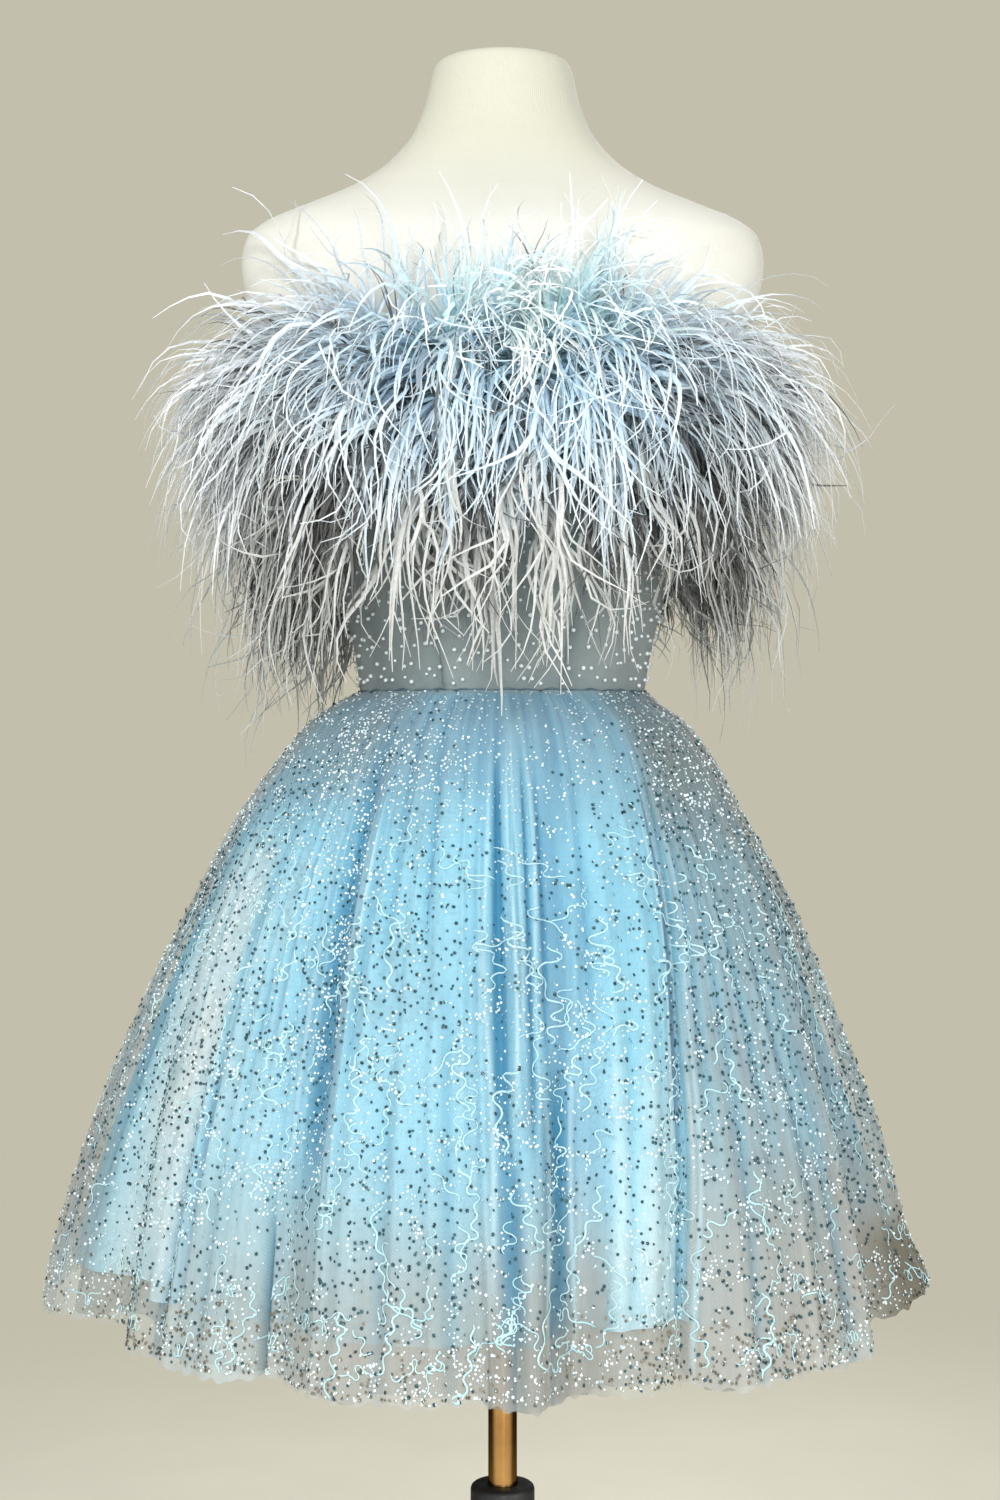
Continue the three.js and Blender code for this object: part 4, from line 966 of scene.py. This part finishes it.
def discs(name, frames, radius, finish, materials, lift=0.5, cup=0.3, corners=5):
    """One mesh of cupped discs; finish gives the index of each disc's material."""
    point, normal, first, second = (each[:, None] for each in frames)
    angles = (np.arange(corners) * 2 * math.pi / corners)[:, None]
    rim = point + normal * lift + radius[:, None, None] * (first * np.cos(angles) + second * np.sin(angles))
    points = np.concatenate([rim, point + normal * (lift - cup)], axis=1)
    fan = [[k, (k + 1) % corners, corners] for k in range(corners)]
    faces = repeat_faces(fan, len(point), corners + 1)
    piece = new_piece(name, points, faces, materials, smooth=False)
    piece.data.polygons.foreach_set("material_index", np.repeat(finish, corners).astype(np.int32))
    return piece


# %% Wandering lines
FIRST_DROP, LAST_DROP = 3, 461  # where anything may be sewn


def wrap(turn):
    return (turn + 180) % 360 - 180


def wander(turn, drop, heading, swing, loop, stride, steps, rng, curl=0.5, bend=4.3):
    """Turns and drops of lines on the flat cloth; each line's heading swings to and fro as it goes."""
    anywhere = (0, 2 * math.pi, (len(turn), 1))
    walked, phase = np.arange(steps) * stride[:, None], rng.uniform(*anywhere)
    slow, quick = (walked / size + rng.uniform(*anywhere) for size in (17, bend))
    to_and_fro = np.sin(2 * math.pi * walked / loop[:, None] + phase)
    angle = np.radians(heading)[:, None] + np.radians(swing)[:, None] * to_and_fro
    angle = angle + 0.4 * np.sin(slow) + curl * np.sin(quick + 1.5 * np.sin(slow))
    drop = np.clip(drop[:, None] + np.cumsum(np.sin(angle), axis=1) * stride[:, None], FIRST_DROP, LAST_DROP)
    round_the_skirt = np.cumsum(np.cos(angle) * stride[:, None], axis=1) / (110 + 0.52 * drop)
    return wrap(turn[:, None] + np.degrees(round_the_skirt)), drop


def on_overlay(hem_turn, drop):
    drop = np.minimum(drop, HEM_DROP - 2.5 + uneven_hem("overlay", hem_turn))
    return skirt_point(hem_turn, drop, -0.25 - flare(hem_turn, drop))


# %% Places of the sequins
ACROSS, DOWN, CHAINS, LINKS, EDGING = 340, 60, 2300, 8, 3600
CROWDED = [  # patches with many more white sequins: turn, drop, spread of each, count
    (-38, 55, 10, 34, 420), (-14, 62, 6, 26, 160), (34, 60, 9, 32, 260), (-25, 180, 1.8, 80, 240),
    (62, 150, 10, 60, 160), (110, 60, 16, 34, 260), (150, 80, 12, 34, 200), (-150, 70, 12, 34, 200),
    (-105, 60, 16, 36, 260), (40, 330, 9, 70, 90),
]
LOOSE, CHAINED, IN_PATCH, AT_HEM = range(4)
rng = np.random.default_rng(21)
grid = (np.linspace(-180, 180, ACROSS, endpoint=False), np.linspace(4, 460, DOWN))
turn, drop = np.meshgrid(*grid, indexing="ij")
loose = [turn + rng.uniform(-0.75, 0.75, turn.shape), drop + rng.uniform(-5, 5, drop.shape)]
chains = wander(
    rng.uniform(-180, 180, CHAINS), 455 * rng.uniform(0, 1, CHAINS) ** 0.8, rng.uniform(0, 360, CHAINS),
    rng.uniform(50, 110, CHAINS), rng.uniform(15, 30, CHAINS), rng.uniform(2.6, 3.8, CHAINS), LINKS, rng,
)
patches = [np.concatenate([rng.normal(row[k], row[k + 2], row[4]) for row in CROWDED]) for k in (0, 1)]
edging = [rng.uniform(-180, 180, EDGING), LAST_DROP - 46 * rng.uniform(0, 1, EDGING) ** 1.6]
groups = list(zip(loose, chains, patches, edging))
turn, drop = (np.concatenate([each.ravel() for each in group]) for group in groups)
kind = np.repeat([LOOSE, CHAINED, IN_PATCH, AT_HEM], [each.size for each in groups[0]])
kept = (rng.random(turn.shape) < 0.65 + 0.35 * smoothstep(drop, 10, 260)) | (kind >= IN_PATCH)
turn = wrap(turn)
kept &= ~((np.abs(np.abs(turn) - 180) < 2.2) & (drop < 152))  # the zip stays bare
kept &= (np.abs(turn) < 100) | (rng.random(turn.shape) < 0.84)
turn, drop, kind = turn[kept], np.clip(np.abs(drop[kept]), 1.5, LAST_DROP), kind[kept]

# %% Sequins on the skirt
frames = frames_on(on_overlay, turn, drop, rng, 0.15, 0.55)
# The bright finish goes to sequins as painted glints, more of them near the waist and at the hem, and along
# the chains.
patch = 0.5 * sine(turn * 9 + 40) + 0.5 * np.sin(drop / 31 + np.radians(turn * 5))
patch = patch + rng.normal(0, 1, turn.shape)
more = 1.8 * (1 - smoothstep(drop, 0, 150)) + 0.5 * smoothstep(drop, 400, 455) - 0.5 + 2.2 * (kind == CHAINED)
white = (kind == IN_PATCH) | (patch + more > 0)
finish = np.where(white, 0, np.where(kind == AT_HEM, 2, 1))
radius = np.where(white, rng.uniform(0.7, 1.2, turn.shape), rng.uniform(1.05, 1.6, turn.shape))
discs("skirt_sequins", frames, radius, finish, [silver, teal, smoky])
print("sequins on the skirt:", len(turn), "of them white:", int(white.sum()))

# %% [markdown]
# ## Cord embroidery
# Between the sequins a fine pale cord wanders in loops, the old pattern called vermicelli. A line whose
# heading swings to and fro like a sine wave gives such meanders. Each line is walked in the flat cloth and
# laid on the folds, as a narrow ribbon with a raised middle.

# %% Ribbons along paths
def ribbons(name, paths, normals, widths, rise, material, replaced=None):
    """One mesh of ribbons with a raised middle: paths is (ribbons, steps, 3), widths is (ribbons, steps)."""
    along = unit(np.gradient(paths, axis=1))
    side = unit(np.cross(along, normals))
    half = (widths / 2)[..., None]
    middle = paths + unit(np.cross(side, along)) * half * rise
    points = np.stack([paths - side * half, middle, paths + side * half], axis=2)
    count, steps = paths.shape[:2]
    faces = repeat_faces(grid_faces(steps, 3), count, steps * 3)
    return new_piece(name, points, faces, material, replaced)


cord = woven(
    "pale embroidery cord", (0.58, 0.80, 0.82), (0.37, 0.66, 0.72), 60.0, (6000.0, 5000.0, 1.0),
    (0.0002, 0.5), Roughness=0.5, Sheen_Weight=0.3,
)[0]

# %% The cord on the skirt
# Short lines lie anywhere, tall ones stand one above another in columns, and low ones run round the hem.
COLUMNS = (-150, -125, -100, -62, -33, -18, -13, -3, 2, 6.5, 11.5, 22, 31, 60, 110, 127, 150)
STOREYS = (165, 245, 325, 400)
SHORT, TALL, LOW, STITCHES = 520, len(COLUMNS) * len(STOREYS), 96, 30
rng = np.random.default_rng(5)


def for_each(*ranges):
    """Random values for the short, the tall and the low lines, each from its own range."""
    return np.concatenate([rng.uniform(*span, size) for span, size in zip(ranges, (SHORT, TALL, LOW))])


turn, drop = for_each((-180, 180), (-1, 1), (-2, 2)), for_each((110, 440), (-20, 20), (-7, 7))
tall = slice(SHORT, SHORT + TALL)
turn[tall] += np.repeat(COLUMNS, len(STOREYS))
drop[tall] += np.tile(STOREYS, len(COLUMNS))
turn[-LOW:] += np.linspace(-180, 180, LOW, endpoint=False)
drop[-LOW:] += np.tile((414, 442), LOW // 2)
heading = for_each((60, 120), (84, 96), (-25, 25)) + 180 * rng.integers(0, 2, len(turn))
heading[tall] %= 180
stride = for_each((0.8, 1.4), (1.9, 2.6), (1.2, 1.9))
swing, loop = for_each((18, 54), (12, 34), (60, 90)), for_each((22, 40), (24, 40), (22, 34))
turn, drop = wander(turn, drop, heading, swing, loop, stride, STITCHES, rng, curl=0.95, bend=2.9)
point, normal, _, _ = frames_on(on_overlay, turn.ravel(), drop.ravel(), rng, 0.0)
paths, normals = ((point + normal * 0.5).reshape(*turn.shape, 3), normal.reshape(*turn.shape, 3))
widths = for_each((0.8, 1.25), (1.1, 1.55), (0.75, 1.15))[:, None] * np.ones(STITCHES)
widths[:, [0, -1]] *= 0.3  # the ends are sewn in
ribbons("skirt_embroidery", paths, normals, widths, 0.7, cord)
print("embroidery:", len(paths), "lines")

# %% [markdown]
# ## Beads on the bodice
# Round glass beads are scattered over the bodice, from just above the waist to near its top edge. A bead is
# an icosahedron, which is round enough for its size.

# %% Round beads
white_bead = toned(
    "white glass beads", (0.90, 0.93, 0.92), (0.70, 0.80, 0.82), 120.0, Roughness=0.18, Coat_Weight=0.6
)[0]
gold = (1 + 5**0.5) / 2
corners = unit(np.array([(s, gold * t, 0) for s in (-1, 1) for t in (-1, 1)]))
corners = np.concatenate([np.roll(corners, k, axis=1) for k in range(3)])
lengths = np.linalg.norm(corners[:, None] - corners[None], axis=2)
edge = lengths[lengths > 0.1].min() * 1.01
bead = []
for a, b, c in itertools.combinations(range(len(corners)), 3):
    if max(lengths[a, b], lengths[b, c], lengths[a, c]) < edge:
        outwards = np.dot(np.cross(corners[b] - corners[a], corners[c] - corners[a]), corners[a]) > 0
        bead.append((a, b, c) if outwards else (a, c, b))

rng = np.random.default_rng(3)
turn, z = np.meshgrid(np.arange(-176, 177, 5.2), np.arange(1046, 1240, 11.5), indexing="ij")
turn = (turn + rng.uniform(-2, 2, turn.shape)).ravel()
z = (z + rng.uniform(-4, 4, z.shape)).ravel()
kept = (rng.random(turn.shape) < 0.85) & (z < bodice_top(turn) - 10)
centres = bodice_point(turn[kept], z[kept], 1.5)
points = centres[:, None] + corners[None] * rng.uniform(1.3, 2.0, len(centres))[:, None, None]
faces = repeat_faces(bead, len(centres), len(corners))
new_piece("bodice_beads", points, faces, white_bead)
print("beads on the bodice:", len(centres))

# %% [markdown]
# ## Waist seam
# Where the gathered skirt meets the bodice, the cloth turns inwards and the line lies in shadow. A thin dark
# strip, a little uneven, fills the seam as painted shadow.

# %% The waist seam
# A dark strip along the seam, as painted shadow.
shadow_strip = woven(
    "waist piping", (0.10, 0.19, 0.24), (0.03, 0.07, 0.10), 90.0, (4200.0, 4200.0, 1.0),
    (0.0003, 0.5), Roughness=0.7,
)[0]
PLACES, SIDES = 500, 6
turns = np.linspace(-178.2, 178.2, PLACES)[:, None]
angles = np.arange(SIDES) * 2 * math.pi / SIDES
bumps = sine(turns * 23) + sine(turns * 41 + 30)
size = 0.75 + 0.14 * bumps
rings = bodice_point(turns, WAIST_Z + size * np.sin(angles) + 0.35 * bumps, 0.9 + size * np.cos(angles))
new_piece("waist_piping", rings, grid_faces(PLACES, SIDES, closed=True), shadow_strip)

# %% [markdown]
# ## Ostrich fringe
# An ostrich feather has no hooks, so its strands hang apart: they leave the quill stiffly, bend over under
# their own weight and divide near the tip. Three rows are sewn round the bodice and open only at the zip.
# Each strand is walked step by step from its root: at each step its heading turns towards the floor, faster
# near the thin tip. Strands of one tuft share a heading, and those of one lock part ways only late.

# %% The feather's finish
feather, tree, shader = new_material(
    "ostrich strands", Roughness=0.6, Sheen_Weight=0.25, Specular_IOR_Level=0.35
)
grain = node(tree, "TexNoise", {"Vector": on_object(tree)}, Scale=420.0, Detail=2.0)
vary = node(tree, "MapRange", {"Value": (grain, "Fac")}, From_Min=0.3, From_Max=0.7, To_Min=0.86, To_Max=1.06)
tinted = {0: stored(tree, "tint", "Vector"), "Scale": (vary, "Result")}
feed(tree, shader, {"Base Color": (node(tree, "VectorMath", tinted, operation="SCALE"), 0)})
add_bump(tree, shader, (grain, "Fac"), 0.0002, 0.3)

# %% The rows of fringe
FRINGE_ROWS = {
    # rows of: root height, tufts, strands in a tuft, lowest and highest lift, shortest and longest strand,
    # bend, sweep
    "fringe_top": [(1281, 116, 11, 22, 62, 105, 158, 2.0, 40), (1272, 120, 12, 0, 46, 130, 182, 2.2, 46)],
    "fringe_middle": [
        (1252, 120, 11, -14, 48, 130, 182, 2.5, 34),
        (1238, 100, 11, -34, 24, 120, 172, 2.8, 24),
    ],
    "fringe_bottom": [(1204, 116, 12, -52, 0, 135, 200, 2.8, 12), (1188, 96, 10, -62, -15, 125, 198, 2.7, 6)],
}
# Of each plume: turn, spread, tufts, strands in a tuft, lowest and highest lift, shortest and longest strand,
# bend, sweep and its spread.
PLUMES = {
    "fringe_top": [
        (3, 7, 34, 11, 10, 84, 95, 150, 1.6, 0, 46), (24, 6, 9, 9, 60, 84, 105, 145, 1.6, 8, 12),
        (8, 3, 3, 4, 60, 80, 115, 145, 1.6, -30, 10), (-8, 4, 4, 4, 62, 80, 105, 130, 1.6, -24, 10),
        (-31, 8, 7, 4, 58, 80, 115, 150, 1.6, -18, 10), (-54, 4, 3, 4, 50, 70, 90, 120, 1.6, 0, 10),
        (50, 8, 5, 4, 45, 68, 100, 135, 1.6, 25, 10), (104, 14, 5, 5, 50, 72, 90, 120, 1.6, 0, 12),
        (150, 14, 8, 5, 60, 84, 100, 145, 1.6, 0, 12), (-104, 14, 5, 5, 50, 72, 90, 120, 1.6, 0, 12),
        (-148, 14, 8, 5, 60, 84, 100, 145, 1.6, 0, 12), (176, 9, 16, 10, 5, 80, 100, 150, 1.6, 0, 30),
        (-176, 9, 16, 10, 5, 80, 100, 150, 1.6, 0, 30),
    ],
    "fringe_middle": [(3, 9, 18, 11, -25, 32, 110, 160, 2.5, 0, 26)],
    "fringe_bottom": [],
}
# At a turn: the share of the two lower rows' tufts that is sewn on, and their share of length.
LOWER = curve_through([
    (-180, 1, 0.9), (-90, 1, 1), (-52, 1, 0.95), (-36, 0.6, 0.95), (-20, 0.42, 1), (4, 0.48, 1), (24, 0.5, 1),
    (36, 0.6, 0.78), (48, 0.8, 0.6), (60, 1, 0.8), (74, 1, 1.06), (98, 1, 1), (120, 0.9, 0.62),
    (148, 0.9, 0.66), (180, 1, 0.9),
])
MIDDLE_Z, BOTTOM_Z = 1260, 1220  # roots below these are in the middle and the bottom row
STEPS, IN_LOCK = 10, 3  # steps of a strand's path, strands of a lock
BACK_SLOT = 180 - math.degrees(9 / 103)  # the rows end 9 mm from the centre back
PULL_Y, PULL_Z, PULL_HALF = (92, 146), (1196, 1256), 7  # the room where the zip's pull swings


def tufts(turn, root_z, each, lift, length, bend, sweep, rng):
    """The strands of some tufts, as columns; the strands of one tuft share its place and its heading."""
    tuft = np.repeat(np.arange(len(turn)), each)
    size = len(tuft)
    return np.stack([
        turn[tuft] + rng.normal(0, 1.2, size),
        root_z + rng.uniform(-5, 5, size),
        lift[tuft] + rng.normal(0, 12, size),
        sweep[tuft] + rng.normal(0, 17, size),
        length[tuft] * rng.uniform(0.75, 1.08, size),
        bend * rng.uniform(0.8, 1.25, size),
        np.full(size, float(root_z)),
    ])


def row_of_fringe(root_z, count, each, low, high, short, long, bend, sweep, rng):
    """A row of tufts round the bodice; the lower rows are sewn on more thinly at some turns."""
    turn = (np.arange(count) + rng.uniform(0.1, 0.9, count)) / count * 2 * BACK_SLOT - BACK_SLOT
    lift, length = rng.uniform(low, high, count), rng.uniform(short, long, count)
    lift = lift - 14 * sine(turn) ** 2 * (root_z > MIDDLE_Z)
    burst = 24 * hump(turn, 4, 13)  # at the centre front the strands fan out both ways
    parted = smoothstep(np.abs(turn - 3), 4, 34) * (np.abs(turn) < 90)
    sweep = sweep * sine(turn * 2) * parted + rng.normal(0, 15 + burst)
    if root_z < MIDDLE_Z:
        sewn, share = LOWER(turn)
        if root_z >= BOTTOM_Z:  # the middle row goes half as far
            sewn, share = 0.5 + 0.5 * sewn, 0.5 + 0.5 * share
        kept = rng.random(count) < sewn
        turn, lift, length, sweep = turn[kept], lift[kept], (length * share)[kept], sweep[kept]
    return tufts(turn, root_z, each, lift, length, bend, sweep, rng)


def plume(root_z, centre, spread, count, each, low, high, short, long, bend, sweep, fan, rng):
    """Some tufts about one turn."""
    turn, lift = rng.normal(centre, spread, count), rng.uniform(low, high, count)
    length, way = rng.uniform(short, long, count), rng.normal(sweep, fan, count)
    return tufts(turn, root_z, each, lift, length, bend, way, rng)


# %% What the strands keep clear of
def keep_outside(points, clearance):
    """Moves points that would be inside the body or the skirt out to its surface."""
    x, y, z = points[..., 0], points[..., 1], points[..., 2]
    side, front, back, square = form_table(z)
    depth, side = np.where(y < 0, front, back) + BODICE_OUT + clearance, side + BODICE_OUT + clearance
    body = ((np.abs(x) / side) ** square + (np.abs(y) / depth) ** square) ** (1 / square)
    needed = 1 + 0.13 * cup_share(x, z) * (y < 0)
    left, right, front, back = (each + clearance for each in SKIRT_PROFILE(np.clip(WAIST_Z - z, 0, 476)))
    skirt = np.hypot(x / np.where(x > 0, right, left), y / np.where(y < 0, front, back))
    inside, needed = np.where(z < WAIST_Z, [skirt, np.ones(z.shape)], [body, needed])
    push = np.maximum(needed / np.maximum(inside, 0.05), 1)
    return np.stack([x * push, y * push, z], -1)


def part_round_pull(points, root):
    """The strands part in front of the zip's pull, so that it swings free."""
    x, y, z = points.T
    crossing = (y > PULL_Y[0]) & (y < PULL_Y[1]) & (z > PULL_Z[0]) & (z < PULL_Z[1])
    crossing &= np.abs(x) < PULL_HALF
    return np.stack([np.where(crossing, np.sign(root[:, 0]) * PULL_HALF, x), y, z], -1)


# %% The strands' paths
def strand_paths(turn, root_z, lift, sweep, length, bend, row_z, rng):
    """The paths of the strands, the kind of each one's lock, and the share of dark locks about it."""
    count = len(turn)
    lock = np.arange(count) // IN_LOCK
    lead, locks = lock * IN_LOCK, lock.max() + 1
    kind = rng.random(locks)[lock]
    # Dark locks, shortened to lie underneath, are in part painted shade between the strands, more in the
    # lower rows and at the sides.
    dark = 0.02 + 0.06 * (row_z < 1280) + 0.38 * smoothstep(-row_z, -1275, -1215)
    dark = dark + np.where(turn > 4, 0.18, 0.12) * smoothstep(np.abs(turn - 4), 18, 45)
    length = length * np.where(kind > 1 - dark, 0.78, np.where(kind > 0.68, 0.92, 1))
    late = rng.uniform(0.35, 0.8, locks)[lock]
    turn = np.clip(turn, -BACK_SLOT, BACK_SLOT)
    lowered = root_z - (bodice_top(0) - bodice_top(turn))
    root = bodice_point(turn, lowered, 2.0)
    tangent = unit(bodice_point(turn + 0.5, lowered) - bodice_point(turn - 0.5, lowered))
    out = np.stack([-tangent[:, 1], tangent[:, 0], 0 * turn], -1)
    out[np.sum(out[:, :2] * root[:, :2], axis=1) < 0] *= -1
    up = np.array([0, 0, 1.0])

    def heading_of(lift, sweep):
        lift, sweep = np.radians(lift)[:, None], np.radians(sweep)[:, None]
        return np.cos(lift) * (np.cos(sweep) * out + np.sin(sweep) * tangent) + np.sin(lift) * up

    heading = heading_of(lift[lead], sweep[lead])
    own = heading_of(lift, sweep) - heading
    sway = (0.2 + 0.08 * smoothstep(-row_z, -1260, -1200))[:, None] * rng.normal(0, 1, (locks, 3))[lock]
    waves, phase = rng.uniform(1.0, 2.4, locks)[lock], rng.uniform(0, 6.3, locks)[lock]
    path = [np.where(rng.random(count)[:, None] < 0.85, root[lead], root)]
    for s in (np.arange(STEPS) + 0.5) / STEPS:
        down = -up - heading * np.sum(-up * heading, axis=1, keepdims=True)
        heading = heading + (bend * (0.35 + 1.3 * s) / STEPS)[:, None] * down
        heading = heading + sway * np.cos(2 * math.pi * waves * s + phase)[:, None]
        parted = smoothstep(np.full(count, s), late, late + 0.25)[:, None]
        heading = unit(heading + own * parted * 1.1 + rng.normal(0, 0.035, heading.shape))
        step = heading * (length / STEPS)[:, None]
        path.append(part_round_pull(keep_outside(path[-1] + step, 2.5), root))
    return np.stack(path, axis=1), kind, dark


# %% The strands' looks
GREY, WHITE, BLUE = np.array([0.58, 0.595, 0.57]), np.array([0.95, 0.965, 0.96]), np.array([0.42, 0.75, 1.0])


def strand_looks(path, turn, row_z, kind, dark, rng):
    """Normals, widths and tints along the strands: bluest at the top of the centre front and painted
    brightest there; dark locks in part, and the darker lower roots, are painted shade.
    """
    each = (len(turn), 1)
    along = np.linspace(0, 1, STEPS + 1)[None, :]
    turn, row_z, kind, dark = (column[:, None] for column in (turn, row_z, kind, dark))
    thick = rng.uniform(1.4, 2.2, each) + 0.9 * (kind < 0.5) + 1.6 * (rng.random(each) < 0.12)
    widths = thick * (0.45 + 0.65 * np.sin(math.pi * along**0.8)) * (1 - 0.6 * along**3)
    facing = unit((path - [0, 0, 1150]) * [1, 1, 0.35])
    normals = unit(facing + rng.normal(0, 0.3, (*each, 3)))
    near_front, high, top = hump(turn, 4, 36), smoothstep(row_z, 1200, 1270), row_z > 1280
    blue = np.clip(near_front * (1.15 - 0.95 * along) * high * np.where(top, 0.8, 1) + 0.1 * high, 0, 1)
    bright = np.where(kind > 1 - dark, 0.18, np.where(kind > 0.66, 0.62 + 0.26 * near_front * top, 1.03))
    bright = bright * rng.uniform(0.88, 1.08, each)
    bright = bright * mix(0.5 + 0.5 * smoothstep(along, 0.05, 0.5), 1, high)  # the lower roots lie in shadow
    # Painted light: brighter at the top of the centre front, dimmer at the sides of the top rows.
    bright = bright * np.where(top, 0.84 + 0.47 * near_front**2, 0.94 + 0.03 * near_front)
    white = mix(GREY, WHITE, np.clip(high + 0.15 * near_front, 0, 1)[..., None])
    return normals, widths, np.clip(mix(white, BLUE, blue[..., None]) * bright[..., None], 0.02, 1)


for index, (name, rows) in enumerate(FRINGE_ROWS.items()):
    rng = np.random.default_rng(100 + index)
    parts = [row_of_fringe(*row, rng) for row in rows]
    parts += [plume(rows[0][0], *row, rng) for row in PLUMES[name]]
    table = np.concatenate(parts, axis=1)
    path, kind, dark = strand_paths(*table, rng)
    turn, row_z = np.clip(table[0], -BACK_SLOT, BACK_SLOT), table[-1]
    normals, widths, tint = strand_looks(path, turn, row_z, kind, dark, rng)
    piece = ribbons(name + "_strands", path, normals, widths, 0.5, feather, name)
    set_attribute(piece, "tint", np.repeat(tint[:, :, None], 3, axis=2))
    print(name, len(path), "strands,", 2 * len(piece.data.polygons), "triangles")

# %% [markdown]
# ## Zip
# A closed zip runs down the centre back from the top edge to below the waist. The tape is a narrow strip and
# the teeth are small blocks in a row, all one mesh. The slider and its pull are the model's own solids,
# with a metal finish; the pull swings.

# %% Zip finishes
zip_tape = woven(
    "zip tape", (0.42, 0.60, 0.68), (0.30, 0.46, 0.54), 30.0, (5200.0, 5200.0, 0.5), (0.0003, 0.6),
    Roughness=0.75, Sheen_Weight=0.2,
)[0]
zip_metal = worn_metal(
    "nickel", (0.78, 0.78, 0.79), (0.62, 0.62, 0.64), 120.0, (500.0, 900.0, 0.2, 0.42),
    (0.00005, 0.4), Metallic=1.0,
)
for name in ("zip_slider", "pull_tab"):
    for each in bpy.data.objects[name].material_slots:
        each.material = zip_metal

# %% The tape and its teeth
PITCH = 1.9
on_bodice = bodice_point(180, np.linspace(1242, 1039, 60), 0.1)
line = np.concatenate([on_bodice, skirt_point(180, np.linspace(1.5, 149, 60), -0.1, fine=0)])
line[:, 0] = 0
across = np.array([1.0, 0, 0])


def off_cloth(ahead):
    return np.stack([0 * ahead[:, 0], -ahead[:, 2], ahead[:, 1]], -1)


ahead = unit(np.gradient(line, axis=0))
edges = ((-3, -0.6), (-2.9, 0), (2.9, 0), (3, -0.6))  # across the tape, and off the cloth
tape = np.stack([line + across * x + off_cloth(ahead) * lift for x, lift in edges], 1)
new_piece("zip_tape", tape, grid_faces(len(line), len(edges)), zip_tape, "zip")
walked = np.concatenate([[0], np.cumsum(np.linalg.norm(np.diff(line, axis=0), axis=1))])
at = np.arange(18, walked[-1] - 2, PITCH)
middle, way = (np.stack([np.interp(at, walked, each[:, k]) for k in range(3)], -1) for each in (line, ahead))
way = unit(way)
middle = middle + np.where(np.arange(len(at)) % 2, 0.35, -0.35)[:, None] * across  # left and right by turns
outline = ((-1.3, -0.62), (1.3, -0.62), (1.3, 0.62), (-1.3, 0.62))
corners = [(x * (1 - 0.25 * high), ahead, high) for high in (0.0, 0.9) for x, ahead in outline]
block = np.stack([middle + across * x + way * d + off_cloth(way) * high for x, d, high in corners], 1)
sides = [(0, 1, 5, 4), (1, 2, 6, 5), (2, 3, 7, 6), (3, 0, 4, 7), (4, 5, 6, 7)]
faces = repeat_faces(sides, len(at), len(corners))
new_piece("zip_teeth", block, faces, zip_metal, smooth=False)
print("zip:", round(float(walked[-1])), "mm long,", len(at), "teeth")
